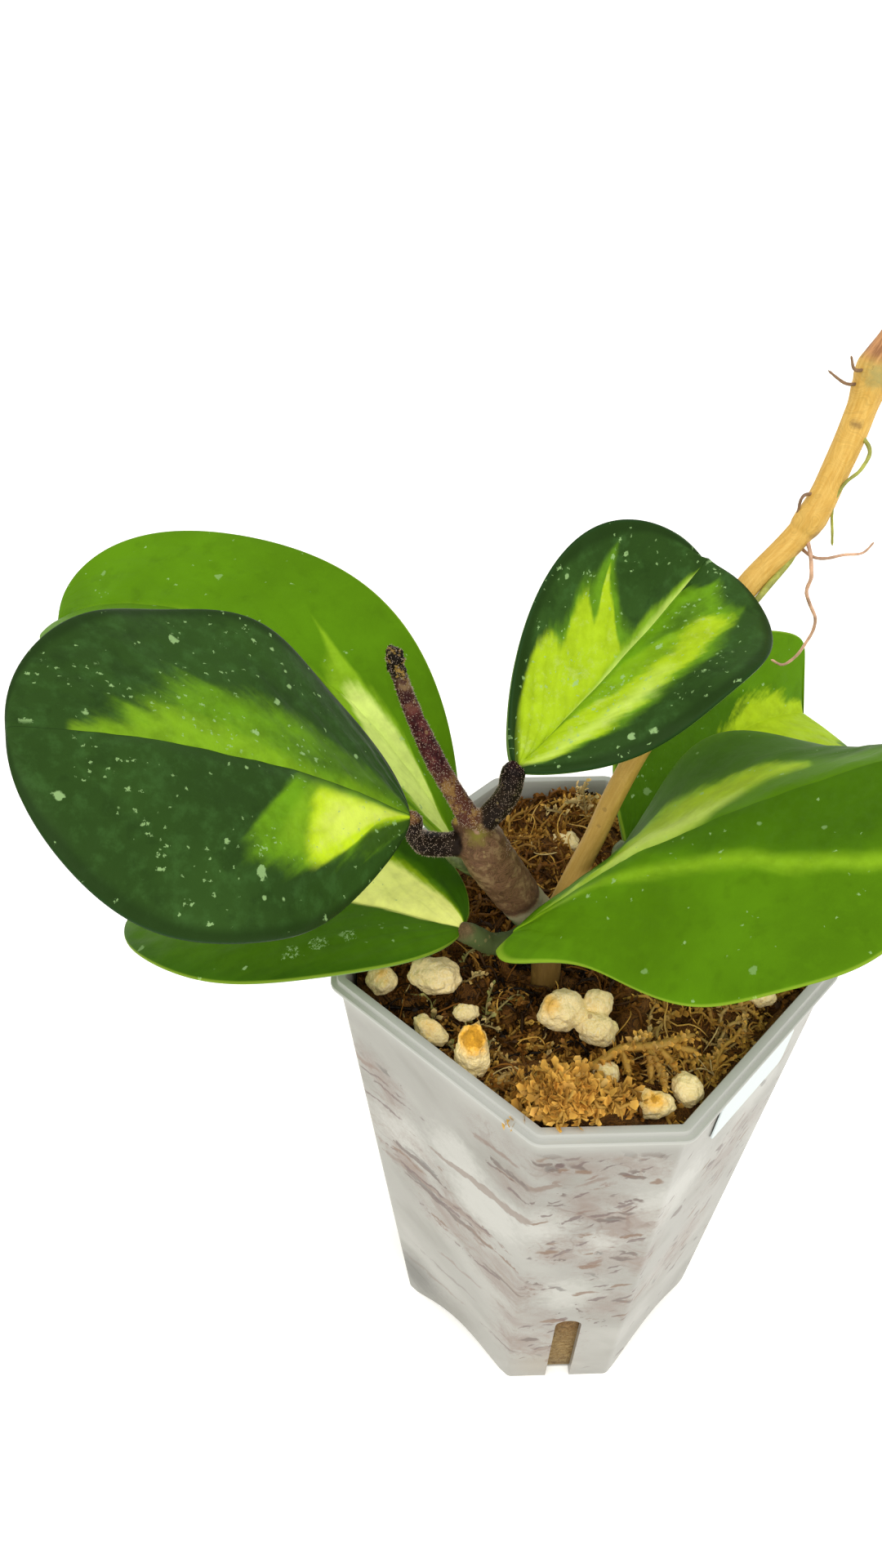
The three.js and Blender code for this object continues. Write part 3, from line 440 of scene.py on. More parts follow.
class HoyaPotSettings(bpy.types.PropertyGroup):
    wall: length_property("Wall", "Thickness of the pot's wall", 1.2)
    corner: length_property("Corner radius", "Rounding of the pot's upright edges", 1.6)
    plastic: colour_property("Plastic", "Colour of the frosted plastic", "93918a")
    cloud: colour_property("Pale plastic", "Colour where nothing touches the wall from inside", "b0afa8")
    sticker: colour_property("Sticker", "Colour of the blank sticker", "cfdada")


class HoyaMossSettings(bpy.types.PropertyGroup):
    strands: count_property("Strands", "Number of feathery strands", 520, 900)
    threads: count_property("Threads", "Number of bare thin threads", 150, 900)
    leaflet: length_property("Leaflet", "Length of one leaflet of a strand", 1.4)
    # the hollows colour is painted shade: the near black deep between the strands
    hollow_shade: colour_property("Hollows", "Colour deep between the strands", "1d1004")
    brown: colour_property("Brown", "Colour of the wet strands", "8f5c1e")
    gold: colour_property("Gold", "Colour of the dry strands", "e6b452")
    straw: colour_property("Straw", "Colour of the palest strands", "d6bc7c")
    green: colour_property("Green", "Colour of the living strands", "a0a058")


class HoyaPerliteSettings(bpy.types.PropertyGroup):
    lump: strength_property("Lumps", "Depth of the lumps as a share of a crumb", 0.16, 0.4)
    body: colour_property("Crumb", "Colour of a clean crumb", "fbdd8c")
    white: colour_property("Pale crumb", "Colour of the chalky patches", "ffefc4")
    stain: colour_property("Stain", "Colour of the orange stains", "f7b62c")
    dirt: colour_property("Dirt", "Colour of the brown specks", "8a5a1c")


class HoyaStemSettings(bpy.types.PropertyGroup):
    hairs: count_property("Hairs", "Number of hairs on the flower stalk and the dark stalks", 4600, 12000)
    hair: length_property("Hair", "Length of one hair", 0.27)
    bark: colour_property("Bark", "Colour of the old vine", "c8983c")
    bark_light: colour_property("Bark light", "Colour of the bleached bark", "dfb860")
    bark_green: colour_property("Green bark", "Colour round the upper joint", "9a9156")
    scar: colour_property("Scar", "Colour of scars and dry scales", "5e4122")
    skin: colour_property("Shoot", "Colour of the young shoot", "6d503a")
    skin_olive: colour_property("Olive", "Colour of the shoot's upper joint", "6a6426")
    dark: colour_property("Dark stalk", "Colour of the two upper leaf stalks", "271c15")
    grey_green: colour_property("Grey green", "Colour of the lower leaf stalks", "4a5630")


class HoyaLeafSettings(bpy.types.PropertyGroup):
    midrib: length_property("Midrib", "Thickness of a blade along its midrib", 1.7)
    margin: length_property("Margin", "Thickness of a blade near its margin", 0.9)
    young_deep: colour_property("Young dark", "Ground colour of the two young leaves", "2c4719")
    young_mid: colour_property("Young mid", "Half tone of the young leaves", "6a9a14")
    # Old dark is also laid as painted shade on the near half of the right leaf
    deep: colour_property("Old dark", "Dark parts of the older leaves", "365b0c")
    mid: colour_property("Old mid", "Ground colour of the older leaves", "527c0c")
    fresh: colour_property("Fresh", "Soft light green of halos and streaks", "86b01e")
    lime: colour_property("Lime", "Lime splashes", "a3c01c")
    yellow: colour_property("Yellow", "Brightest splash of the front leaf", "c3df22")
    cream: colour_property("Cream", "Cream streaks", "d8ec7c")
    # Pale cream is partly the cream's own colour and partly painted light, made brighter where the leaf above
    # shades the lower left leaf
    pale: colour_property("Pale cream", "Palest part of the lower left leaf", "fbff8e")
    fleck: colour_property("Flecks", "Silver flecks", "93b576")
    under: colour_property("Underside", "Colour of the undersides", "6f9440")


class HoyaStageSettings(bpy.types.PropertyGroup):
    floor: colour_property("Floor", "Colour of the floor", "fcfbf6")
    sky: strength_property("Ambient", "Strength of the even light", 0.85, 5)
    glow: strength_property("Floor glow", "Light that the floor gives off", 0.28, 5)
    key: strength_property("Key", "Strength of the soft main light", 1.8, 20)


# Shape helpers

def unit(vector):
    return vector / np.linalg.norm(vector)


def ring_faces(rings, count):
    """Faces that join a row of rings, each with the same number of points."""
    faces = []
    for i in range(rings - 1):
        for k in range(count):
            a, b = i * count + k, i * count + (k + 1) % count
            faces.append((a, b, b + count, a + count))
    return faces


def smooth_line(points, steps):
    """Positions and radii along the smooth line that the solids use, with a number of steps for each span."""
    rows = np.array([p[:3] for p in points], float)
    radii = np.array([p[3] if len(p) > 3 else 1 for p in points], float)
    count = len(rows)
    places, sizes = [], []
    for i in range(count - 1):
        p1, p2 = rows[i], rows[i + 1]
        p0 = rows[i - 1] if i > 0 else 2 * p1 - p2
        p3 = rows[i + 2] if i + 2 < count else 2 * p2 - p1
        d0, d1, d2 = (max(np.linalg.norm(b - a), 1e-4) ** 0.5 for a, b in ((p0, p1), (p1, p2), (p2, p3)))
        t1 = ((p1 - p0) / d0 - (p2 - p0) / (d0 + d1) + (p2 - p1) / d1) * d1
        t2 = ((p2 - p1) / d1 - (p3 - p1) / (d1 + d2) + (p3 - p2) / d2) * d1
        last = i == count - 2
        for k in range(steps + (1 if last else 0)):
            w = k / steps
            places.append(p1 + w * t1 + w * w * (-3 * p1 + 3 * p2 - 2 * t1 - t2)
                          + w ** 3 * (2 * p1 - 2 * p2 + t1 + t2))
            ease = w * w * (3 - 2 * w)
            sizes.append(radii[i] + (radii[i + 1] - radii[i]) * ease)
    return np.array(places), np.array(sizes)


def travel(places):
    """Distance along a line at each of its points."""
    return np.concatenate([[0], np.cumsum(np.linalg.norm(np.diff(places, axis=0), axis=1))])


def tube(points, sides, steps, shape=None, tip=1.0):
    """Closed tube round a smooth line: points, faces and each point's distance along and turn round it."""
    places, radii = smooth_line(points, steps)
    far = travel(places)
    ahead = np.gradient(places, axis=0)
    ahead /= np.linalg.norm(ahead, axis=1)[:, None]
    across = np.array([1.0, 0, 0]) if abs(ahead[0][0]) < 0.9 else np.array([0, 1.0, 0])
    verts, grid = [], []
    turns = 2 * np.pi * np.arange(sides) / sides
    for i, (place, way) in enumerate(zip(places, ahead)):
        across = unit(across - way * across.dot(way))
        up = np.cross(way, across)
        radius = np.full(sides, radii[i])
        if shape is not None:
            radius = radius * shape(far[i], turns)
        if i == len(places) - 1:
            radius = radius * tip
        verts.append(place + np.outer(radius * np.cos(turns), across) + np.outer(radius * np.sin(turns), up))
        grid.append(np.stack([np.full(sides, far[i]), turns / (2 * np.pi)], 1))
    count = len(places)
    faces = ring_faces(count, sides)
    points_out = np.concatenate(verts + [places[:1], places[-1:]])
    values = np.concatenate(grid + [np.array([[0, 0], [far[-1], 0]])])
    low, high, last = count * sides, count * sides + 1, (count - 1) * sides
    for k in range(sides):
        following = (k + 1) % sides
        faces.append((low, following, k))
        faces.append((high, last + k, last + following))
    return points_out, faces, values


def join(parts):
    """One set of points, faces and values from several."""
    points, faces, values, offset = [], [], [], 0
    for part in parts:
        points.append(part[0])
        faces += [tuple(i + offset for i in face) for face in part[1]]
        values.append(part[2] if len(part) > 2 else np.zeros((len(part[0]), 2)))
        offset += len(part[0])
    return np.concatenate(points), faces, np.concatenate(values)


def mesh_from(name, points, faces, layers=None):
    mesh = bpy.data.meshes.new(name)
    mesh.from_pydata((np.asarray(points) * MM).tolist(), [], faces)
    if layers:
        corners = np.empty(len(mesh.loops), np.int32)
        mesh.loops.foreach_get("vertex_index", corners)
        for layer, values in layers.items():
            uv = mesh.uv_layers.new(name=layer)
            uv.data.foreach_set("uv", np.asarray(values, np.float32)[corners].ravel())
    mesh.shade_smooth()
    return mesh


def turn_out(mesh, merge=0.0):
    """Turns all faces of a mesh outwards, after joining points closer than merge."""
    work = bmesh.new()
    work.from_mesh(mesh)
    if merge:
        bmesh.ops.remove_doubles(work, verts=work.verts, dist=merge)
    bmesh.ops.recalc_face_normals(work, faces=work.faces)
    work.to_mesh(mesh)
    work.free()


def add_object(name, data):
    made = bpy.data.objects.new(name, data)
    bpy.context.scene.collection.objects.link(made)
    return made


def show(name, mesh, materials, slot, *nodes):
    """Puts a mesh in the scene as one piece of the plant, in place of its solids."""
    piece = add_object(name, mesh)
    for material in materials:
        mesh.materials.append(material)
    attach(piece, "root")
    if nodes:
        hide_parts(*nodes)
    return piece


def knit(piece, voxel, factor, rounds, relief):
    """Joins a piece's lobes into one skin, eases it and moves each point out by relief(its place)."""
    joined = piece.modifiers.new("knit", "REMESH")
    joined.mode, joined.voxel_size, joined.use_smooth_shade = "VOXEL", voxel * MM, True
    ease = piece.modifiers.new("ease", "SMOOTH")
    ease.factor, ease.iterations = factor, rounds
    mesh = settle(piece)
    places, normals = np.empty(len(mesh.vertices) * 3), np.empty(len(mesh.vertices) * 3)
    mesh.vertices.foreach_get("co", places)
    mesh.vertices.foreach_get("normal", normals)
    places = places.reshape(-1, 3) / MM
    places += normals.reshape(-1, 3) * np.array([relief(p) for p in places])[:, None]
    mesh.vertices.foreach_set("co", (places * MM).ravel())
    mesh.update()
    mesh.shade_smooth()
    return mesh


def settle(piece):
    """Turns a piece's modifiers into its mesh."""
    bpy.context.view_layer.update()
    graph = bpy.context.evaluated_depsgraph_get()
    old, mesh = piece.data, bpy.data.meshes.new_from_object(piece.evaluated_get(graph))
    piece.modifiers.clear()
    piece.data = mesh
    bpy.data.meshes.remove(old)
    return mesh


def rough(place, scale, octaves, seed):
    """Smooth noise from about minus one to one at a place in millimetres."""
    away = (seed * 7.3, -seed * 3.1, seed * 1.7)
    return noise.fractal(Vector([c * scale + a for c, a in zip(place, away)]), 1.0, 2.0, octaves)


# Shader helpers

def give(tree, value, socket):
    """Sets a socket to a plain value or joins another socket to it."""
    if isinstance(value, bpy.types.NodeSocket):
        tree.links.new(value, socket)
    else:
        socket.default_value = value


def put(tree, kind, settings=None, inputs=None):
    """Adds a node. Inputs are given by name or by number, as values or as sockets to join."""
    node = tree.nodes.new(kind)
    for key, value in (settings or {}).items():
        setattr(node, key, value)
    for key, value in (inputs or {}).items():
        give(tree, value, node.inputs[key])
    return node


def calc(tree, operation, *values, clamp=False):
    node = put(tree, "ShaderNodeMath", {"operation": operation, "use_clamp": clamp}, dict(enumerate(values)))
    return node.outputs[0]


def plus(tree, first, second, clamp=False):
    return calc(tree, "ADD", first, second, clamp=clamp)


def minus(tree, first, second):
    return calc(tree, "SUBTRACT", first, second)


def most(tree, first, second):
    return calc(tree, "MAXIMUM", first, second)


def fit(tree, value, factor, offset):
    """A value times a factor, plus an offset."""
    return calc(tree, "MULTIPLY_ADD", value, factor, offset)


def times(tree, first, *others):
    """Product of two or more values."""
    for other in others:
        first = calc(tree, "MULTIPLY", first, other)
    return first


def split(tree, vector):
    """The three numbers of a vector."""
    return put(tree, "ShaderNodeSeparateXYZ", None, {0: vector}).outputs


def gather(tree, x, y, z=0.0):
    """A vector from three numbers."""
    return put(tree, "ShaderNodeCombineXYZ", None, {0: x, 1: y, 2: z}).outputs[0]


def layer(tree, name):
    """The two values that a mesh carries in one of its flat layers."""
    return split(tree, put(tree, "ShaderNodeUVMap", {"uv_map": name}).outputs[0])


def shaken(tree, place, size, scale, **settings):
    """A place moved by coloured noise."""
    noise_at = put(tree, "ShaderNodeTexNoise", {"noise_dimensions": "3D"},
                   {"Vector": place, "Scale": scale, **settings})
    size = size if isinstance(size, bpy.types.NodeSocket) else (size, size, size)
    return vectors(tree, "MULTIPLY_ADD", noise_at.outputs["Color"], size, place)


def vectors(tree, operation, first, second, third=(0, 0, 0)):
    """Arithmetic on vectors."""
    given = {0: first, 1: second, 2: third}
    return put(tree, "ShaderNodeVectorMath", {"operation": operation}, given).outputs[0]


def chances(tree, dots):
    """Three numbers by chance for each cell."""
    return put(tree, "ShaderNodeSeparateColor", None, {0: dots.outputs["Color"]}).outputs


def blend(tree, share, first, second, way="MIX"):
    """Mixes two colours, given as sockets, as three numbers or as web colours."""
    node = put(tree, "ShaderNodeMix", {"data_type": "RGBA", "blend_type": way}, {0: share})
    for slot, value in ((6, first), (7, second)):
        if isinstance(value, str):
            value = tone(value)
        if not isinstance(value, bpy.types.NodeSocket):
            value = (*value, 1)
        give(tree, value, node.inputs[slot])
    return node.outputs[2]


def rise(tree, value, low, high):
    """Smooth step from 0 at low to 1 at high. Plain numbers may run downwards."""
    turned = not any(isinstance(end, bpy.types.NodeSocket) for end in (low, high)) and low > high
    if turned:
        low, high = high, low
    ends = {"To Min": 1.0, "To Max": 0.0} if turned else {}
    node = put(tree, "ShaderNodeMapRange", {"interpolation_type": "SMOOTHSTEP"},
               {"Value": value, "From Min": low, "From Max": high, **ends})
    return node.outputs["Result"]


def grain(tree, vector, scale, detail=3.0, roughness=0.55, seed=0.0, distortion=0.0):
    node = put(tree, "ShaderNodeTexNoise", {"noise_dimensions": "4D"},
               {"Vector": vector, "W": seed, "Scale": scale, "Detail": detail, "Roughness": roughness,
                "Distortion": distortion})
    return node.outputs[0]


def cells(tree, vector, scale, dimensions="3D"):
    return put(tree, "ShaderNodeTexVoronoi", {"feature": "F1", "voronoi_dimensions": dimensions},
               {"Vector": vector, "Scale": scale, "Randomness": 1.0})


def curve(tree, value, points):
    node = put(tree, "ShaderNodeFloatCurve", None, {"Value": value})
    line = node.mapping.curves[0]
    while len(line.points) > 2:
        line.points.remove(line.points[-1])
    line.points[0].location = points[0]
    line.points[-1].location = points[-1]
    for x, y in points[1:-1]:
        line.points.new(x, y)
    for point in line.points:
        point.handle_type = "VECTOR"
    node.mapping.update()
    return node.outputs[0]


def bump(tree, height, distance, strength):
    return put(tree, "ShaderNodeBump", None,
               {"Strength": strength, "Distance": distance * MM, "Height": height}).outputs[0]


def object_place(tree):
    """Place on the piece in metres, the same in every view."""
    return put(tree, "ShaderNodeTexCoord").outputs["Object"]


def group(name, inputs, outputs, build):
    """Makes a shader node group once. inputs are (name, default), outputs are (name, kind)."""
    if name in bpy.data.node_groups:
        return bpy.data.node_groups[name]
    tree = bpy.data.node_groups.new(name, "ShaderNodeTree")
    for label, default in inputs:
        kind = "NodeSocketVector" if isinstance(default, tuple) else "NodeSocketFloat"
        socket = tree.interface.new_socket(name=label, in_out="INPUT", socket_type=kind)
        socket.default_value = default
    for label, kind in outputs:
        tree.interface.new_socket(name=label, in_out="OUTPUT", socket_type=f"NodeSocket{kind}")
    start, end = tree.nodes.new("NodeGroupInput"), tree.nodes.new("NodeGroupOutput")
    for label, socket in build(tree, start.outputs).items():
        tree.links.new(socket, end.inputs[label])
    return tree


def use(tree, shared, **inputs):
    """Places a shared group. Names with spaces are written with underscores."""
    node = tree.nodes.new("ShaderNodeGroup")
    node.node_tree = shared
    for key, value in inputs.items():
        give(tree, value, node.inputs[key.replace("_", " ")])
    return node.outputs


def material(name, roughness=0.5, **shader_values):
    """New material: its node tree and its shader, with plain values set on the shader itself."""
    made = bpy.data.materials.new(name)
    made.use_nodes = True
    tree = made.node_tree
    shader = tree.nodes["Principled BSDF"]
    shader.inputs["Roughness"].default_value = roughness
    for key, value in shader_values.items():
        shader.inputs[key.replace("_", " ")].default_value = value
    return made, tree, shader


def paint(tree, colour, mask, strength, hue):
    """Lays a colour over another where a mask is, at some strength."""
    return blend(tree, times(tree, mask, strength), colour, hue)


def patch(tree, place, scale, level, softness, seed):
    return use(tree, patches_group(), Place=place, Scale=scale, Level=level, Softness=softness, Seed=seed)[0]


def speck(tree, place, scale, size, share):
    return use(tree, specks_group(), Place=place, Scale=scale, Size=size, Share=share)[0]


def spot(tree, point, reach, soft, uneven, seed):
    """Mask round a point of the piece, everything in millimetres."""
    return use(tree, near_group(), Point=tuple(float(c) * MM for c in point), Radius=reach * MM,
               Softness=soft * MM, Uneven=uneven * MM, Seed=float(seed))[0]


def feed(tree, shader, **sockets):
    for key, socket in sockets.items():
        tree.links.new(socket, shader.inputs[key.replace("_", " ")])


# Shared effects

def patches_group():
    """Soft uneven patches, from 0 to 1."""
    def build(tree, given):
        warp = grain(tree, given["Place"], given["Scale"], 2, 0.5, given["Seed"])
        value = grain(tree, given["Place"], given["Scale"], 5, 0.6, plus(tree, given["Seed"], warp))
        half = times(tree, given["Softness"], 0.5)
        low = minus(tree, given["Level"], half)
        high = plus(tree, given["Level"], half)
        return {"Mask": rise(tree, value, low, high)}
    return group("Patches", [("Place", ORIGIN), ("Scale", 100.0), ("Level", 0.5), ("Softness", 0.2),
                             ("Seed", 0.0)], [("Mask", "Float")], build)


def specks_group():
    """Small round specks of uneven size."""
    def build(tree, given):
        moved = shaken(tree, given["Place"], calc(tree, "DIVIDE", 0.5, given["Scale"]),
                       times(tree, given["Scale"], 2.2), Detail=2.0)
        dots = cells(tree, moved, given["Scale"])
        chance = chances(tree, dots)
        size = times(tree, calc(tree, "POWER", chance[0], 2.0), given["Size"])
        there = rise(tree, chance[1], minus(tree, 1.0, given["Share"]),
                     minus(tree, 1.02, given["Share"]))
        near = rise(tree, minus(tree, size, dots.outputs["Distance"]), 0.0, 0.06)
        return {"Mask": times(tree, near, there)}
    return group("Specks", [("Place", ORIGIN), ("Scale", 1000.0), ("Size", 0.4), ("Share", 0.5)],
                 [("Mask", "Float")], build)


def dabs_group():
    """Short slanted dabs: long cells that are filled in part and bent by noise."""
    def build(tree, given):
        x, y, z = split(tree, shaken(tree, given["Place"], 3.5 * MM, 260.0, Detail=3.0, Roughness=0.6))
        round_way = fit(tree, y, 0.75, x)
        along = plus(tree, times(tree, round_way, 0.34), times(tree, z, given["Tilt"], 0.34))
        across = minus(tree, z, times(tree, round_way, given["Tilt"]))
        laid = gather(tree, along, across, given["Seed"])
        spots = cells(tree, put(tree, "ShaderNodeVectorMath", {"operation": "SCALE"},
                                {0: laid, "Scale": given["Scale"]}).outputs[0], 1.0)
        chance = chances(tree, spots)
        there = calc(tree, "LESS_THAN", chance[0], given["Share"])
        radius = times(tree, given["Size"], fit(tree, chance[1], 0.6, 0.6))
        inside = rise(tree, minus(tree, radius, spots.outputs["Distance"]), -0.06, 0.12)
        return {"Mask": times(tree, there, inside)}
    return group("Dabs", [("Place", ORIGIN), ("Scale", 300.0), ("Tilt", 0.5), ("Size", 0.34),
                          ("Share", 0.4), ("Seed", 0.0)], [("Mask", "Float")], build)


def near_group():
    """Mask round a point of the piece, given in metres."""
    def build(tree, given):
        place = object_place(tree)
        away = put(tree, "ShaderNodeVectorMath", {"operation": "DISTANCE"}, {0: place, 1: given["Point"]})
        shake = grain(tree, place, 900, 3, 0.6, given["Seed"])
        uneven = times(tree, minus(tree, shake, 0.5), given["Uneven"])
        distance = plus(tree, away.outputs["Value"], uneven)
        inner = minus(tree, given["Radius"], given["Softness"])
        node = put(tree, "ShaderNodeMapRange", {"interpolation_type": "SMOOTHSTEP"},
                   {"Value": distance, "From Min": inner, "From Max": given["Radius"],
                    "To Min": 1.0, "To Max": 0.0})
        return {"Mask": node.outputs["Result"]}
    return group("Near", [("Point", ORIGIN), ("Radius", 0.004), ("Softness", 0.002),
                          ("Uneven", 0.001), ("Seed", 0.0)], [("Mask", "Float")], build)


def blade_group():
    """Places on a blade, read from its two flat layers. Rim, Rib and Flat are in millimetres."""
    def build(tree, given):
        grid, flat = layer(tree, "Leaf"), layer(tree, "Flat")
        side = fit(tree, grid[1], 2.0, -1.0)
        out = calc(tree, "ABSOLUTE", side)
        across = fit(tree, flat[1], 100.0, -50.0)
        rib = calc(tree, "ABSOLUTE", across)
        full = calc(tree, "DIVIDE", rib, most(tree, out, 0.02))
        vein = minus(tree, grid[0], times(tree, out, 0.5))
        return {
            "Along": grid[0], "Out": out, "Left": calc(tree, "GREATER_THAN", side, 0.0),
            "Vein": fit(tree, vein, 1 / 1.5, 1 / 3), "Rim": minus(tree, full, rib),
            "Rib": rib, "Flat": gather(tree, times(tree, flat[0], 100.0), across),
        }
    numbers = [(label, "Float") for label in ("Along", "Out", "Left", "Vein", "Rim", "Rib")]
    return group("Blade places", [], numbers + [("Flat", "Vector")], build)


def splash_group():
    """One splash of colour whose border breaks up along the side veins."""
    def build(tree, given):
        seed = fit(tree, given["Left"], 5.0, given["Seed"])
        spread = gather(tree, times(tree, given["Vein"], 15.0), times(tree, given["Out"], 2.2))
        fine = gather(tree, times(tree, given["Vein"], 62.0), times(tree, given["Out"], 9.0))
        big = minus(tree, grain(tree, spread, 1.0, 3, 0.55, seed, 0.5), 0.5)
        small = minus(tree, grain(tree, fine, 1.0, 3, 0.6, seed, 0.6), 0.5)
        torn = minus(tree, grain(tree, given["Flat"], 0.55, 4, 0.65, seed), 0.5)
        wobble = plus(tree, times(tree, big, 2.0), times(tree, small, 0.5))
        wobble = times(tree, plus(tree, wobble, times(tree, torn, 0.8)), given["Ragged"])
        inside = minus(tree, plus(tree, given["Far"], wobble), given["Out"])
        beyond = minus(tree, given["Out"], fit(tree, wobble, 0.4, given["Near"]))
        half = times(tree, given["Soft"], 0.5)
        low = times(tree, half, -1.0)
        there = rise(tree, given["Far"], 0.005, 0.03)
        near = rise(tree, beyond, low, half)
        return {"Mask": times(tree, rise(tree, inside, low, half), near, there)}
    return group("Splash", [("Vein", 0.0), ("Out", 0.0), ("Left", 0.0), ("Flat", ORIGIN), ("Far", 0.5),
                            ("Near", -1.0), ("Ragged", 0.2), ("Soft", 0.1), ("Seed", 0.0)],
                 [("Mask", "Float")], build)


def flecks_group():
    """Silver flecks: dust, torn spots and a few drawn out along the blade."""
    def build(tree, given):
        pulled = shaken(tree, given["Flat"], 1.3, 1.6, Detail=4.0, Roughness=0.7)
        torn = grain(tree, given["Flat"], 3.2, 3, 0.7, given["Seed"])
        crowd = grain(tree, given["Flat"], 0.11, 2, 0.5, given["Seed"])
        crowd = rise(tree, crowd, 0.44, 0.66)

        def strewn(stretch, spacing, share, size, edge, offset):
            moved = vectors(tree, "ADD", pulled, (offset, offset * 0.7, 0))
            packed = vectors(tree, "MULTIPLY", moved, (1 / (spacing * stretch), 1 / spacing, 1))
            dots = cells(tree, packed, 1.0, dimensions="2D")
            chance = chances(tree, dots)
            level = times(tree, given["Amount"], share, fit(tree, crowd, 2.2, 0.15))
            there = calc(tree, "LESS_THAN", chance[1], level)
            radius = fit(tree, chance[0], size, size * 0.35)
            radius = plus(tree, radius, times(tree, minus(tree, torn, 0.5), size * 2.4))
            near = rise(tree, minus(tree, radius, dots.outputs["Distance"]), 0.0, edge)
            return times(tree, there, near)

        dust = strewn(1.3, 0.5, 0.08, 0.3, 0.14, 3.0)
        spots = strewn(1.7, 1.15, 0.05, 0.2, 0.09, 11.0)
        big = strewn(1.6, 3.2, 0.05, 0.13, 0.05, 23.0)
        larger = most(tree, times(tree, spots, 0.9), big)
        return {"Mask": most(tree, times(tree, dust, 0.8), larger)}
    return group("Flecks", [("Flat", ORIGIN), ("Amount", 1.0), ("Seed", 0.0)], [("Mask", "Float")],
                 build)


def veins_group():
    """Fine side veins: a value for colour and one for relief."""
    def build(tree, given):
        wander = grain(tree, given["Flat"], 0.12, 3, 0.5, given["Seed"])
        lines = fit(tree, wander, 0.12, given["Vein"])
        wave = calc(tree, "SINE", times(tree, lines, 95.0))
        ridge = calc(tree, "POWER", fit(tree, wave, 0.5, 0.5), 6.0)
        fade = rise(tree, given["Out"], 0.95, 0.5)
        fine = grain(tree, given["Flat"], 0.9, 4, 0.6, given["Seed"])
        lines = times(tree, ridge, fade)
        return {"Lines": lines, "Relief": fit(tree, lines, -0.35, fine), "Fine": fine}
    return group("Side veins", [("Vein", 0.0), ("Out", 0.0), ("Flat", ORIGIN), ("Seed", 0.0)],
                 [("Lines", "Float"), ("Relief", "Float"), ("Fine", "Float")], build)


# Pot

def pot_ring(width, cut, z, radius, steps=5):
    """Square with cut corners and rounded edges, turned so that a cut corner faces -Y."""
    half = width / 2
    corners = [(half, half - cut), (half - cut, half), (cut - half, half), (-half, half - cut),
               (-half, cut - half), (cut - half, -half), (half - cut, -half), (half, cut - half)]
    corners = [np.array(c) for c in corners]
    ring = []
    back = radius * tan(pi / 8)
    for i, corner in enumerate(corners):
        before, after = corners[i - 1], corners[(i + 1) % 8]
        start, end = corner + unit(before - corner) * back, corner + unit(after - corner) * back
        for k in range(steps + 1):
            t = k / steps
            ring.append((1 - t) ** 2 * start + 2 * t * (1 - t) * corner + t * t * end)
        leaving = after + unit(corner - after) * back
        for k in range(1, 6):
            ring.append(end + (leaving - end) * k / 6)
    ring = np.array(ring)
    turned = np.stack([ring[:, 0] - ring[:, 1], ring[:, 0] + ring[:, 1]], 1) * sqrt(0.5)
    return np.column_stack([turned, np.full(len(turned), z)])


def body_ring(z, outset, radius):
    """Ring of the pot's tapered body moved out by a distance."""
    share = z / BODY_TOP_Z
    width = BASE_WIDTH + (BODY_TOP_WIDTH - BASE_WIDTH) * share
    cut = BASE_CUT + (TOP_CUT - BASE_CUT) * share
    return pot_ring(width + 2 * outset, cut + (2 - sqrt(2)) * outset, z, max(radius + outset, 0.3))


def skin(rings):
    """Closed skin over a row of rings with the same number of points."""
    count = len(rings[0])
    points = list(np.concatenate(rings))
    faces = ring_faces(len(rings), count)
    for ring, turned in ((0, True), (len(rings) - 1, False)):
        centre = len(points)
        points.append(rings[ring].mean(0))
        for k in range(count):
            a, b = ring * count + k, ring * count + (k + 1) % count
            faces.append((centre, b, a) if turned else (centre, a, b))
    return np.array(points), faces


def arch_block(angle, outline, start, end):
    """Block whose section is an outline of (across, z), between two distances from the pot's axis."""
    c, s = cos(angle), sin(angle)
    rings = [np.array([(c * far - s * across, s * far + c * across, z) for across, z in outline])
             for far in (start, end)]
    return skin(rings)


def foot_arch(grow):
    """Outline of the low arch under a long side, with flared ends."""
    half, high = ARCH_WIDTH / 2 + 1.6 + grow, ARCH_HEIGHT + grow
    top = []
    for i in range(33):
        x = half * (1 - i / 16)
        top.append((x, high * (0.5 + 0.5 * cos(pi * x / half)) ** 0.62))
    return [(-half, -2), (half, -2)] + top[1:-1]


def slot_arch():
    half, round_from = SLOT_WIDTH / 2, SLOT_HEIGHT - SLOT_WIDTH / 2
    turns = [pi * i / 14 for i in range(15)]
    top = [(half * cos(t), round_from + half * sin(t)) for t in turns]
    return [(-half, -2), (half, -2)] + top


def carve(piece, blocks, operation):
    """Adds blocks to a piece or cuts them out of it."""
    for points, faces in blocks:
        mesh = mesh_from("cutter", points, faces)
        cutter = add_object(mesh.name, mesh)
        turn_out(mesh)
        step = piece.modifiers.new("carve", "BOOLEAN")
        step.operation, step.solver, step.object = operation, "EXACT", cutter
        settle(piece)
        bpy.data.objects.remove(cutter)
        bpy.data.meshes.remove(mesh)


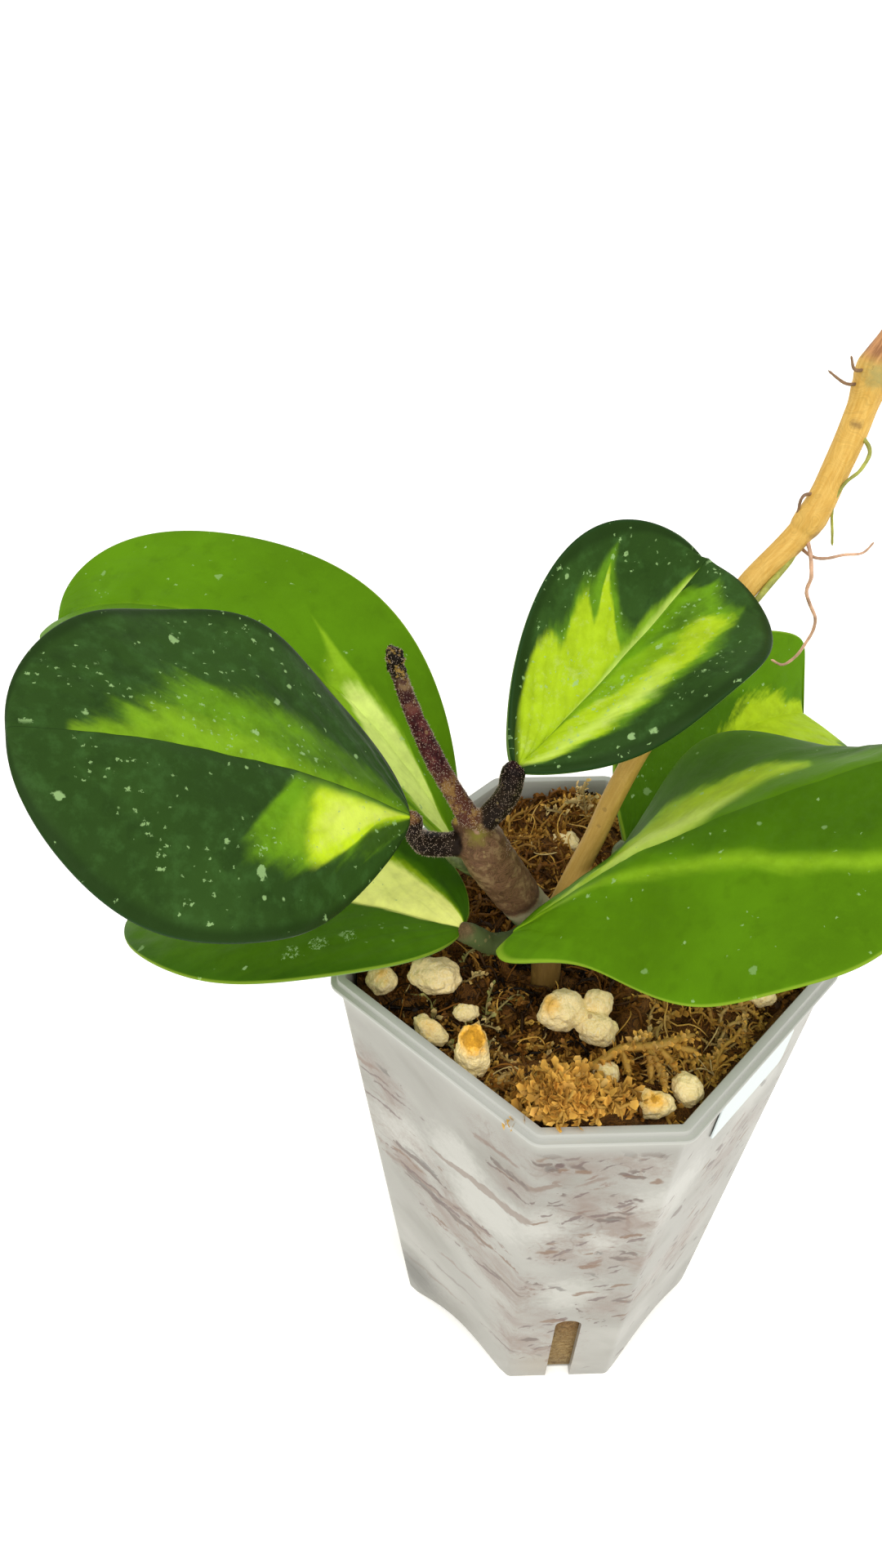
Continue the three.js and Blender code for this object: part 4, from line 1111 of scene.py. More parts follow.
def make_pot(settings):
    wall, corner = settings.wall / MM, settings.corner / MM
    lip, bead = (LIP_WIDTH - BODY_TOP_WIDTH) / 2, (BEAD_WIDTH - BODY_TOP_WIDTH) / 2
    top = POT_HEIGHT
    # height and how far out of the tapered body: up the outside, over the lip and down the inside
    profile = [(0.2, -0.7), (0.06, -0.25), (0.4, 0)] + [(z, 0) for z in (8, 16, 26, 38, 50, 62, 74, 84, 91.6)]
    profile += [(92.8, 0.05), (93.25, 0.35), (93.4, 0.85), (93.45, lip - 0.2), (93.6, lip), (94.0, lip),
                (94.18, lip - 0.16), (94.2, bead + 0.34), (94.26, bead + 0.1), (94.42, bead + 0.02),
                (94.7, bead - 0.06), (94.93, bead - 0.22), (top, bead - 0.5), (top, -wall + 0.45),
                (94.92, -wall + 0.12)]
    profile += [(z, -wall) for z in (94.7, 93.4, 86, 70, 45, 20, 2.4)]
    profile += [(1.6, -wall - 0.3), (1.42, -wall - 1)]
    rings = [body_ring(z, out, corner if out > -wall + 0.3 else corner * 0.6) for z, out in profile]
    rings[0][:, 2] = 0
    points, faces = skin(rings)
    pot = show("pot_body", mesh_from("pot_body", points, faces), [], "pot_plastic", "pot")
    face, corner_at = BASE_WIDTH / 2, (BASE_WIDTH - BASE_CUT) * sqrt(0.5)
    sides = [radians(45 + 90 * k) for k in range(4)]
    linings = [arch_block(a, foot_arch(wall), face - ARCH_DEPTH - wall, face - 0.35) for a in sides]
    carve(pot, [(np.column_stack([p[:, :2], np.maximum(p[:, 2], 0.2)]), f) for p, f in linings], "UNION")
    carve(pot, [arch_block(a, foot_arch(0), face - ARCH_DEPTH, face + 5) for a in sides], "DIFFERENCE")
    carve(pot, [arch_block(radians(90 * k), slot_arch(), corner_at - wall - 0.6, corner_at + 5)
                for k in range(4)], "DIFFERENCE")
    pot.data.shade_smooth()
    pot.data.set_sharp_from_angle(angle=radians(38))
    pot.data.materials.clear()
    pot.data.materials.append(plastic_material(settings))
    return pot


# Where the damp moss presses on the pot's wall, and where the wall stands off from it:
# x, y, z, reach in millimetres and strength
PRESSED = [
    (-33.4, -12.1, 73, 9, 0.8), (-31.8, -12.2, 59.8, 6, 0.5), (-26, -17.6, 56, 9, 1), (-19.6, -23, 47, 10, 1),
    (-13, -29.4, 42, 9, 0.9), (-15.7, -31, 85, 6, 0.6), (-12.3, -33.5, 77, 6, 0.8), (-3.7, -37, 86.5, 8, 0.9),
    (3, -37, 85, 7, 0.9), (-1, -35.5, 72, 8, 1), (6, -34.9, 66, 7, 0.9), (-3.6, -34, 58, 6, 0.9),
    (6, -33.5, 53, 8, 0.9), (8.3, -31.5, 34, 8, 0.8), (-5, -30, 17, 9, 0.9), (-8, -31, 28, 7, 0.7),
    (25, -18, 60, 12, 0.8), (20, -22, 34, 10, 0.8), (30, 14, 60, 14, 0.9), (-10, 32, 50, 14, 0.9),
    (12, 30, 78, 12, 0.8), (-30, 12, 40, 14, 0.8),
]
CLEAR = [
    (-28.3, -15.9, 64, 7, 0.8), (-16.2, -28.2, 62, 8, 1), (-20, -25, 70, 7, 0.9), (-8, -34.9, 67, 6, 0.8),
    (2.4, -34.3, 61, 4, 0.8), (-0.5, -32, 40, 7, 0.9), (12, -33, 70, 9, 0.9), (28, -20, 78, 10, 0.7),
    (26, 20, 30, 12, 0.8), (-22, 26, 70, 12, 0.8),
]


def plastic_material(settings):
    """Frosted plastic with the damp moss showing through it."""
    made, tree, shader = material("Frosted plastic", 0.34, Specular_IOR_Level=0.3, Coat_Weight=0.08,
                                  Coat_Roughness=0.25)
    place = object_place(tree)
    x, y, height = split(tree, place)
    lean = gather(tree, x, y, times(tree, fit(tree, x, 0.5, height), 1.5))

    def gathered(spots, seed):
        total = None
        for x, y, z, reach, strength in spots:
            mask = spot(tree, (x, y, z), reach * 1.25, reach * 0.95, reach * 1.1, seed + z * 0.1)
            mask = times(tree, mask, strength)
            total = mask if total is None else most(tree, total, mask)
        return total

    pressed, clear = gathered(PRESSED, 3.0), gathered(CLEAR, 70.0)
    covered = rise(tree, height, 90.5 * MM, 86.5 * MM)
    soft = grain(tree, lean, 55, 3, 0.5, 2.0)
    cloud = plus(tree, times(tree, rise(tree, soft, 0.42, 0.7), 0.45), clear, clamp=True)
    colour = blend(tree, cloud, settings.plastic, settings.cloud)
    grey = rise(tree, grain(tree, lean, 80, 3, 0.5, 31.0), 0.5, 0.72)
    colour = paint(tree, colour, times(tree, grey, 0.4), covered, "77766b")
    warm = times(tree, pressed, rise(tree, grain(tree, lean, 110, 3, 0.5, 12.0), 0.34, 0.66))
    colour = paint(tree, colour, times(tree, warm, 0.8), covered, "7d6a60")
    for seed, scale, level, strength, text in (
            (21.0, 230.0, 0.57, 0.5, "7a6a5e"), (27.0, 410.0, 0.6, 0.6, "6a5a4c"),
            (39.0, 520.0, 0.58, 0.5, "6f6a5c")):
        blot = patch(tree, place, scale, level, 0.1, seed)
        blot = calc(tree, "MULTIPLY", blot, fit(tree, pressed, 0.9, 0.12), clamp=True)
        colour = paint(tree, colour, times(tree, blot, covered), strength, text)
    # short dabs and bent strands, most of them where the moss presses on the wall
    dabs = dabs_group()
    for seed, scale, tilt, size, share, strength, text in (
            (1.0, 360.0, 0.5, 0.38, 0.4, 0.7, "735e50"), (2.0, 420.0, -0.4, 0.34, 0.5, 0.85, "55433a"),
            (3.0, 310.0, 0.9, 0.32, 0.35, 0.7, "6e5040"), (4.0, 520.0, 0.2, 0.36, 0.5, 0.8, "6b4a2c"),
            (5.0, 340.0, -0.8, 0.32, 0.35, 0.7, "57504a"), (6.0, 640.0, 0.7, 0.36, 0.5, 0.7, "4e302e")):
        crowd = fit(tree, pressed, share, 0.05)
        mask = use(tree, dabs, Place=place, Scale=scale, Tilt=tilt, Size=size, Share=crowd, Seed=seed)[0]
        colour = paint(tree, colour, times(tree, mask, covered), strength, text)
    for seed, scale, thin, strength, text in (
            (1.0, 120.0, 0.026, 0.4, "7c6555"), (8.0, 90.0, 0.018, 0.4, "6b5044")):
        value = grain(tree, lean, scale, 2, 0.5, seed, 0.35)
        line = rise(tree, calc(tree, "ABSOLUTE", minus(tree, value, 0.5)), thin, thin * 0.3)
        broken = rise(tree, grain(tree, place, scale * 1.1, 2, 0.5, seed + 50), 0.46, 0.54)
        colour = paint(tree, colour, times(tree, line, broken, pressed, covered), strength, text)
    # painted shade darkening the foot of the wall, then the lip
    for point, reach, strength, text in (
            ((-27, -11.4, 9), 12, 0.85, "4a473f"), ((-19, -18.6, 7), 9, 0.55, "625e52"),
            ((27, -11, 8), 11, 0.6, "6a665c"), ((0, 28, 8), 16, 0.6, "6a665c"),
            ((-3, -29, 6), 9, 0.35, "8a7556")):
        colour = paint(tree, colour, spot(tree, point, reach, reach * 0.9, 4, reach), strength, text)
    colour = paint(tree, colour, rise(tree, height, 89 * MM, 92.8 * MM), 0.8, "b4b5ae")
    feed(tree, shader, Base_Color=colour)
    frost = grain(tree, place, 2600, 3, 0.6)
    dents = grain(tree, place, 70, 2, 0.5)
    shine = fit(tree, dents, 0.18, 0.26)
    feed(tree, shader, Roughness=shine)
    relief = fit(tree, frost, 0.12, dents)
    feed(tree, shader, Normal=bump(tree, relief, 0.12, 0.7))
    return made


def make_label(settings):
    """Thin blank sticker with round corners, on the long side to the right under the lip."""
    wide, high, middle, radius = STICKER_WIDTH, STICKER_HEIGHT, STICKER_Z, STICKER_CORNER
    outline = []
    for cx, cz, start in ((1, 1, 0), (-1, 1, 90), (-1, -1, 180), (1, -1, 270)):
        for k in range(7):
            a = radians(start + 15 * k)
            outline.append((cx * (wide / 2 - radius) + radius * cos(a),
                            cz * (high / 2 - radius) + radius * sin(a)))
    rings = []
    for outset, inset in ((0.2, 0.0), (0.36, 0.0), (0.42, 0.06)):
        ring = []
        for u, w in outline:
            z = middle + w * (1 - inset / high)
            out = (BASE_WIDTH + (BODY_TOP_WIDTH - BASE_WIDTH) * z / BODY_TOP_Z) / 2 + outset
            across = u * (1 - inset / wide) + 1
            ring.append(((across + out) * sqrt(0.5), (across - out) * sqrt(0.5), z))
        rings.append(np.array(ring))
    points, faces = skin(rings)
    made, tree, shader = material("Sticker paper", 0.42, Specular_IOR_Level=0.5)
    place = object_place(tree)
    fibre = grain(tree, place, 1500, 4, 0.6)
    stain = patch(tree, place, 120.0, 0.55, 0.3, 2.0)
    colour = paint(tree, settings.sticker, stain, 0.25, "c4cfcd")
    feed(tree, shader, Base_Color=colour, Normal=bump(tree, fibre, 0.02, 0.5))
    piece = show("sticker", mesh_from("sticker", points, faces), [made], "label_paper", "label")
    piece.data.set_sharp_from_angle(angle=radians(50))
    return piece


# Moss

def moss_height(x, y):
    """Height of the moss in millimetres, as in the solids."""
    ripple = 0.7 * np.sin(0.55 * x + 0.3 * y) * np.cos(0.47 * y - 0.2 * x) + 0.4 * np.sin(1.1 * x - 0.9 * y)
    total = MOSS_Z + ripple
    for mx, my, high, spread in MOUNDS:
        total = total + high * np.exp(-((x - mx) ** 2 + (y - my) ** 2) / (2 * spread ** 2))
    return total


def clearance(x, y, z=90.0):
    """Distance from a place in the moss to the pot's inner wall."""
    half = (BASE_WIDTH + (BODY_TOP_WIDTH - BASE_WIDTH) * z / BODY_TOP_Z) / 2 - 1.6
    u, v = abs(x + y) * sqrt(0.5), abs(y - x) * sqrt(0.5)
    return min(half - u, half - v, (2 * half - 13.2 - u - v) * sqrt(0.5))


def feather(line, radius, leaflet, tint, rng, spacing, broad=0.34):
    """One strand of moss: a thin stem with pointed curled leaflets all round it."""
    places, _ = smooth_line(line, 3)
    parts = [thread(line, radius, tint, 0.15, 0.4)]
    far = travel(places)
    total = far[-1]
    count = int(total / spacing)
    ahead = np.gradient(places, axis=0)
    ahead /= np.linalg.norm(ahead, axis=1)[:, None]
    verts, tris, vals = [], [], []
    for i in range(count):
        at = (i + rng.random()) / count * total
        k = min(int(np.searchsorted(far, at)), len(places) - 1)
        way = ahead[k]
        side = np.cross(way, (rng.uniform(-1, 1), rng.uniform(-1, 1), rng.uniform(-1, 1)))
        side /= max(np.linalg.norm(side), 1e-6)
        flat = np.cross(side, way)
        size = leaflet * rng.uniform(0.6, 1.25) * (1 - 0.45 * at / total)
        lean = rng.uniform(0.5, 1.1)
        out = side * sin(lean) + way * cos(lean)
        tip_way = side * sin(lean * 1.7) + way * cos(lean * 1.7)
        root = places[k] + side * radius * 0.6
        middle = root + out * size * 0.5
        end = middle + tip_way * size * 0.55
        wide = size * broad
        lift = side * wide * 0.5
        n = len(verts)
        verts += [root - flat * wide * 0.5, root + flat * wide * 0.5, middle + flat * wide + lift,
                  middle - flat * wide + lift, end, middle - lift * 0.4]
        tris += [tuple(n + i for i in face) for face in LEAFLET_FACES]
        shade = min(max(tint + rng.uniform(-0.07, 0.07), 0), 1)
        vals += [(shade, light) for light in LEAFLET_LIGHT]
    if verts:
        parts.append((np.array(verts), tris, np.array(vals)))
    return parts


def thread(line, radius, tint, light, tip):
    """Thin tube that carries its tint and how light it is."""
    points, faces, _ = tube([(*p, radius) for p in line], 4, 2, tip=tip)
    return points, faces, np.tile((tint, light), (len(points), 1))


def crawl(x, y, way, length, rng, curl, lift, drop=0.0):
    """Path of a strand that lies on the moss and stays inside the pot."""
    steps = max(4, int(length / 1.6))
    bend = rng.uniform(-curl, curl)
    line = []
    for k in range(steps + 1):
        t = k / steps
        rest = float(moss_height(x, y)) + lift * sin(pi * t)
        line.append((x, y, rest + rng.uniform(-0.35, 0.45) - drop * (1 - t)))
        way += bend / steps + rng.uniform(-0.5, 0.5)
        nx, ny = x + cos(way) * length / steps, y + sin(way) * length / steps
        if clearance(nx, ny) < 0.7:
            way += pi * 0.6
            nx, ny = x * 0.97, y * 0.97
        x, y = nx, ny
    return line


def moss_spot(rng):
    while True:
        x, y = rng.uniform(-38, 38), rng.uniform(-38, 38)
        if clearance(x, y) > 1:
            return x, y


def make_moss(settings):
    """The bed, then the strands, threads, clump and branches, from one row of random draws."""
    make_moss_bed(settings)
    rng = random.Random(11)
    leaflet = settings.leaflet / MM
    strand = moss_strand_material(settings)

    def show_strands(name, parts):
        points, faces, values = join(parts)
        show(name, mesh_from(name, points, faces, {"Tint": values}), [strand], "moss")

    show_strands("moss_strands", loose_strands(settings.strands, leaflet, rng))
    show_strands("moss_threads", loose_threads(settings.threads, rng))
    show_strands("moss_golden_clump", golden_clump(leaflet, rng))
    show_strands("moss_branch", branches(leaflet, rng))


def make_moss_bed(settings):
    bed_rings = [body_ring(z, -MOSS_INSET, 1.2) for z in (1.75, 8, 20, 40, 60, 78, 85.5)]
    rim = body_ring(MOSS_RIM_Z, -MOSS_INSET, 1.2)
    count = 34
    for ring in range(count, 0, -1):
        share = ring / count
        rows = rim.copy()
        rows[:, :2] *= share
        rows[:, 2] = moss_height(rows[:, 0], rows[:, 1]) - 0.5
        for row in rows:
            edge = min(clearance(row[0], row[1]), 1) if ring < count else 0
            lump = rough(row, 0.32, 3, 1) * 1.5 + rough(row, 1.1, 2, 2) * 0.55
            row[2] += lump - 0.6 * (1 - edge)
        bed_rings.append(rows)
    points, faces = skin(bed_rings)
    bed = show("moss_bed", mesh_from("moss_bed", points, faces), [], "moss", "moss")
    near, far = BASE_WIDTH / 2 - ARCH_DEPTH - MOSS_INSET, BASE_WIDTH / 2 + 5
    carve(bed, [arch_block(radians(45 + 90 * k), foot_arch(MOSS_INSET), near, far) for k in range(4)],
          "DIFFERENCE")
    bed.data.shade_smooth()
    bed.data.materials.clear()
    bed.data.materials.append(moss_bed_material(settings))


def gold_at(x, y):
    """How golden the moss is at a place."""
    share = 0.22 + 0.22 * rough((x, y, 0), 0.16, 2, 9)
    for gx, gy, reach, strength in GOLDEN_PLACES:
        share += strength * exp(-((x - gx) ** 2 + (y - gy) ** 2) / reach ** 2)
    return share


def loose_strands(count, leaflet, rng):
    parts = []
    for _ in range(count):
        x, y = moss_spot(rng)
        tint = min(max(rng.gauss(gold_at(x, y), 0.1), 0.04), 0.78)
        line = crawl(x, y, rng.uniform(0, 2 * pi), rng.uniform(5, 14), rng, 1.6,
                     rng.uniform(0.1, 1.5), 0.6)
        parts += feather(line, rng.uniform(0.2, 0.36), leaflet * rng.uniform(0.7, 1.15), tint, rng, 0.36)
    return parts


def loose_threads(count, rng):
    parts = []
    for _ in range(count):
        x, y = moss_spot(rng)
        line = crawl(x, y, rng.uniform(0, 2 * pi), rng.uniform(4, 13), rng, 2.6,
                     rng.uniform(0.4, 2.2), 0.3)
        tint = min(max(rng.gauss(gold_at(x, y) + 0.1, 0.16), 0.05), 0.9)
        points, faces, _ = tube([(*p, rng.uniform(0.08, 0.17)) for p in line], 4, 2, tip=0.3)
        parts.append((points, faces, np.tile((tint, 0.5), (len(points), 1))))
    return parts


def golden_clump(leaflet, rng):
    """The golden clump that rises over the front rim."""
    parts = []
    for _ in range(80):
        a, r = rng.uniform(0, 2 * pi), abs(rng.gauss(0, 3.1))
        x, y = CLUMP[0] + r * cos(a) * 1.25, CLUMP[1] + r * sin(a) * 0.75
        if clearance(x, y) < 0.6:
            continue
        top = float(moss_height(x, y))
        way, lean = rng.uniform(0, 2 * pi), rng.uniform(0.3, 2.2)
        high = rng.uniform(0.6, 3.4) * exp(-r / 5)
        line = [(x, y, top - 1)]
        for k in range(1, 5):
            nx = x + cos(way) * lean * k * 0.8 + rng.uniform(-0.5, 0.5)
            ny = y + sin(way) * lean * k * 0.55 + rng.uniform(-0.5, 0.5)
            if clearance(nx, ny) < 0.4:
                nx, ny = nx * 0.975, ny * 0.975
            line.append((nx, ny, min(top + high * sin(k * 0.75) + rng.uniform(-0.2, 0.4), 97.2)))
        parts += feather(line, 0.3, leaflet * 1.45, rng.uniform(0.5, 0.72), rng, 0.3, broad=0.46)
    for x, y in ((-6.4, -35.6), (-4.4, -36.0), (-2, -35.8)):
        line = [(x + 0.6, y + 3, 94.6), (x + 0.2, y + 1.2, 96), (x, y, 96), (x - 0.3, y - 1, 95.5)]
        parts += feather(line, 0.24, leaflet * 1.2, 0.66, rng, 0.34, broad=0.44)
    return parts


def branches(leaflet, rng):
    """The yellow branch at the front, the pale sprig at the back and a few green strands."""
    parts = feather(BRANCH[0], 0.7, leaflet, 0.7, rng, 0.14, broad=0.36)
    for arm in BRANCH[1:]:
        parts += feather(arm, 0.6, leaflet, rng.uniform(0.64, 0.76), rng, 0.14, broad=0.36)
    parts += feather(SPRIG[0], 0.35, leaflet * 1.2, 0.86, rng, 0.3)
    for arm in SPRIG[1:]:
        parts += feather(arm, 0.26, leaflet * 1.1, 0.86, rng, 0.3)
    for _ in range(16):
        x, y = rng.uniform(-28, -14), rng.uniform(-22, -4)
        if clearance(x, y) < 1.5:
            continue
        line = crawl(x, y, rng.uniform(0, 2 * pi), rng.uniform(4, 8), rng, 2, 1.2)
        parts += feather(line, 0.18, leaflet * 0.9, rng.uniform(0.86, 0.95), rng, 0.5)
    return parts


def moss_bed_material(settings):
    made, tree, shader = material("Moss bed", 0.75, Specular_IOR_Level=0.3)
    place = object_place(tree)
    coarse = patch(tree, place, 210.0, 0.5, 0.3, 4.0)
    fine = grain(tree, place, 900, 5, 0.7, 2.0, 0.8)
    # the bed: painted shade of the hollows in patches, brown elsewhere, then near black painted shade in its
    # crevices
    colour = blend(tree, coarse, settings.hollow_shade, settings.brown)
    colour = paint(tree, colour, rise(tree, fine, 0.5, 0.7), 0.6, "8f6224")
    colour = blend(tree, rise(tree, fine, 0.42, 0.3), colour, "120a03")
    pale = blend(tree, rise(tree, fine, 0.35, 0.65), "7d6030", "a98f5c")
    colour = paint(tree, colour, rise(tree, split(tree, place)[2], 31 * MM, 12 * MM), 0.9, pale)
    feed(tree, shader, Base_Color=colour, Normal=bump(tree, fine, 0.9, 1.0))
    return made


def moss_strand_material(settings):
    """Damp moss: the tint layer runs from the painted shade of the hollows through wet brown and gold to
    straw and green.
    """
    made, tree, shader = material("Moss strands", 0.6, Specular_IOR_Level=0.2)
    tint, light, _ = layer(tree, "Tint")
    place = object_place(tree)
    shift = fit(tree, grain(tree, place, 160, 3, 0.6), 0.34, -0.17)
    value = plus(tree, tint, shift)
    # the lowest tints take the painted shade of the hollows
    colour = blend(tree, rise(tree, value, 0.05, 0.38), settings.hollow_shade, settings.brown)
    colour = blend(tree, rise(tree, value, 0.34, 0.68), colour, settings.gold)
    colour = blend(tree, rise(tree, value, 0.7, 0.88), colour, settings.straw)
    colour = blend(tree, rise(tree, tint, 0.9, 0.96), colour, settings.green)
    dark = fit(tree, light, 0.75, 0.45)
    shades = put(tree, "ShaderNodeCombineColor", None, {0: dark, 1: dark, 2: dark}).outputs[0]
    fibre = grain(tree, place, 2500, 3, 0.6)
    feed(tree, shader, Base_Color=blend(tree, 1.0, colour, shades, "MULTIPLY"),
         Normal=bump(tree, fibre, 0.08, 0.6))
    return made


# Perlite

def make_perlite(settings):
    made = perlite_material(settings)
    number = 0
    for i in range(len(PERLITE)):
        if i in JOINED_CRUMBS[1:]:
            continue
        number += 1
        name = f"crumb_{number:02d}"
        work = bmesh.new()
        for c in (JOINED_CRUMBS if i == JOINED_CRUMBS[0] else (i,)):
            at, size, spin, tip, _ = PERLITE[c]
            rng = random.Random(c + 40)
            turned = Matrix.Rotation(radians(spin), 3, "Z") @ Matrix.Rotation(radians(tip), 3, "X")
            lobes = [(Vector((0, 0, 0)), 0.86)]
            for k in range(9):
                level, around = 1 - 2 * (k + 0.5) / 9, k * 2.4 + rng.uniform(-0.5, 0.5)
                flat = sqrt(1 - level * level)
                way = Vector((flat * cos(around), flat * sin(around), level))
                lobe = rng.uniform(0.34, 0.58)
                lobes.append((way * (0.98 - lobe) * rng.uniform(0.92, 1.02), lobe))
            for middle, radius in lobes:
                for vert in bmesh.ops.create_icosphere(work, subdivisions=3, radius=radius)["verts"]:
                    grow = 1 + settings.lump * noise.noise(vert.co * 4 + Vector((c, radius * 9, 0)))
                    point = middle + vert.co * grow
                    vert.co = (turned @ Vector([v * s for v, s in zip(point, size)]) + Vector(at)) * MM
        mesh = bpy.data.meshes.new(name)
        work.to_mesh(mesh)
        work.free()
        piece = show(name, mesh, [made], "perlite", f"perlite_{number:02d}")
        knit(piece, 0.15, 0.6, 9, lambda place: rough(place, 0.8, 3, number) * 0.2)


def perlite_material(settings):
    made, tree, shader = material("Perlite", 0.85, Specular_IOR_Level=0.25)
    place = object_place(tree)
    up = split(tree, put(tree, "ShaderNodeNewGeometry").outputs["Normal"])[2]
    chalk = patch(tree, place, 220.0, 0.5, 0.3, 1.0)
    colour = blend(tree, chalk, settings.body, settings.white)
    colour = paint(tree, colour, patch(tree, place, 160.0, 0.56, 0.2, 6.0), 0.55, "e6cf86")
    total = None
    for seed, (centre, half, _, _, stained) in enumerate(PERLITE):
        if stained < 0.45:
            continue
        point = (centre[0], centre[1] - 0.4, centre[2] + half[2] * 0.75)
        if seed == JOINED_CRUMBS[0]:
            point = (-6.6, -16.4, 96)
        mask = spot(tree, point, max(half) * 0.74 * (0.6 + 0.4 * stained), 2.7, 2.8, seed)
        mask = times(tree, mask, stained)
        total = mask if total is None else most(tree, total, mask)
    total = times(tree, total, rise(tree, up, -0.4, 0.4))
    colour = blend(tree, total, colour, settings.stain)
    deep = rise(tree, plus(tree, total, grain(tree, place, 700, 3, 0.6, 3.0)), 1.28, 1.46)
    colour = paint(tree, colour, deep, 0.55, settings.dirt)
    colour = paint(tree, colour, speck(tree, place, 900.0, 0.45, 0.1), 0.5, settings.dirt)
    pits = cells(tree, place, 2300.0).outputs["Distance"]
    coarse = grain(tree, place, 900, 5, 0.7)
    relief = plus(tree, times(tree, pits, 0.35), coarse)
    feed(tree, shader, Base_Color=colour, Normal=bump(tree, relief, 0.35, 0.9))
    return made


# Stems

def make_cane(settings):
    places, _ = smooth_line(CANE, 16)
    far = travel(places)
    marks = [float(far[np.argmin(np.linalg.norm(places - np.array(p), axis=1))]) for p in CANE_JOINTS]

    def shape(at, turns):
        value = 1 + 0.015 * np.sin(turns * 3 + at * 0.11) + 0.012 * np.sin(turns * 7 - at * 0.3)
        value = value + 0.03 * np.sin(at * 0.6) * np.cos(turns + at * 0.07)
        for mark in marks:
            value = value + 0.05 * exp(-((at - mark - 0.8) / 0.7) ** 2) * (1 + 0.4 * np.sin(turns * 2))
            value = value - 0.05 * exp(-((at - mark + 1.6) / 0.5) ** 2)
        return value

    points, faces, values = tube(CANE, 28, 16, shape)
    mesh = mesh_from("cane_bark", points, faces, {"Bark": values / np.array([200.0, 1.0])})
    show("cane_bark", mesh, [bark_material(settings)], "cane_bark", "cane")

    for kind, text in (("pink", "dcae8c"), ("olive", "a9ab48"), ("dry", "8a6a4c")):
        parts = []
        for radius, hue, line in AERIAL_ROOTS:
            if hue != kind:
                continue
            shaped = [(*p, radius * (1.15 - 0.5 * k / (len(line) - 1))) for k, p in enumerate(line)]
            parts.append(tube(shaped, 10, 8, knotted, tip=0.35))
        if kind == "dry":
            parts.append(tube(DRY_SCALE, 8, 5, tip=0.3))
        if kind == "olive":
            parts.append(tube(OLIVE_STRIP, 10, 6, tip=0.3))
        points, faces, _ = join(parts)
        name = f"cane_{kind}_roots"
        show(name, mesh_from(name, points, faces), [root_material(kind, text)], "cane_bark")


def knotted(at, turns):
    return 1 + 0.1 * np.sin(at * 1.9 + turns) + 0.06 * np.sin(at * 4.1 - turns * 2)


def root_material(kind, text):
    made, tree, shader = material(f"Root {kind}", 0.6)
    place = object_place(tree)
    streak = grain(tree, place, 420, 4, 0.65)
    colour = blend(tree, rise(tree, streak, 0.38, 0.66), shaded(tone(text), 0.55), text)
    feed(tree, shader, Base_Color=colour, Normal=bump(tree, streak, 0.12, 0.8))
    return made


def bark_material(settings):
    made, tree, shader = material("Old bark", 0.62, Specular_IOR_Level=0.35)
    place = object_place(tree)
    along, turn, _ = layer(tree, "Bark")
    angle = times(tree, turn, 2 * pi)
    wrapped = gather(tree, times(tree, along, 30.0), times(tree, calc(tree, "COSINE", angle), 2.2),
                     times(tree, calc(tree, "SINE", angle), 2.2))
    streaks = grain(tree, wrapped, 2.2, 5, 0.6)
    colour = blend(tree, rise(tree, streaks, 0.25, 0.8), settings.bark, settings.bark_light)
    colour = paint(tree, colour, patch(tree, place, 130.0, 0.55, 0.2, 5.0), 0.4, "b08a3e")
    green = spot(tree, (37, 24.6, 173.8), 2.9, 2.2, 3, 2)
    colour = paint(tree, colour, green, 0.8, settings.bark_green)
    height = split(tree, place)[2]
    # the bark darker towards the bottom
    older = blend(tree, streaks, "9c7a32", "c09c50")
    colour = paint(tree, colour, rise(tree, height, 166 * MM, 100 * MM), 0.8, older)
    damp = blend(tree, streaks, "4d3510", "7d5f28")
    colour = paint(tree, colour, rise(tree, height, 106 * MM, 97 * MM), 0.9, damp)
    red = blend(tree, rise(tree, streaks, 0.4, 0.62), "8d5f38", "c08a58")
    colour = blend(tree, rise(tree, height, 174.6 * MM, 176.4 * MM), colour, red)
    for point, reach in SCARS:
        colour = paint(tree, colour, spot(tree, point, reach, 1.2, 2.4, reach), 0.65, settings.scar)
    colour = paint(tree, colour, speck(tree, place, 700.0, 0.5, 0.1), 0.5, "8a6a34")
    relief = plus(tree, times(tree, streaks, 0.5), grain(tree, place, 1200, 4, 0.6))
    feed(tree, shader, Base_Color=colour, Normal=bump(tree, relief, 0.16, 0.8))
    return made


def stalk_line(name, under=None):
    """Line of a leaf stalk from the stem to just inside the base of its blade."""
    leaf, line = LEAVES[name], STALKS[name]
    if under:
        along, side = under
        end = blade_point(leaf, along, side)
        normal = blade_normal(leaf, np.array(along), np.array(side))
        return line + [(*(end - normal * 2.6), 1.6), (*(end - normal * 0.5), 1.4)]
    start = blade_point(leaf, 0.0, 0.0)
    back = unit(blade_point(leaf, 0.02, 0.0) - start)
    last = line[-1][3]
    reach = 0.3 if name == "leaf_upper_right" else 1.2
    return line + [(*(start - back * reach), last), (*(start + back * 0.5), last * 0.85)]


def wrinkled(at, turns):
    return 1 + 0.016 * np.sin(at * 2.3 + 2 * np.sin(turns)) + 0.02 * np.sin(turns * 4 + at * 0.4)


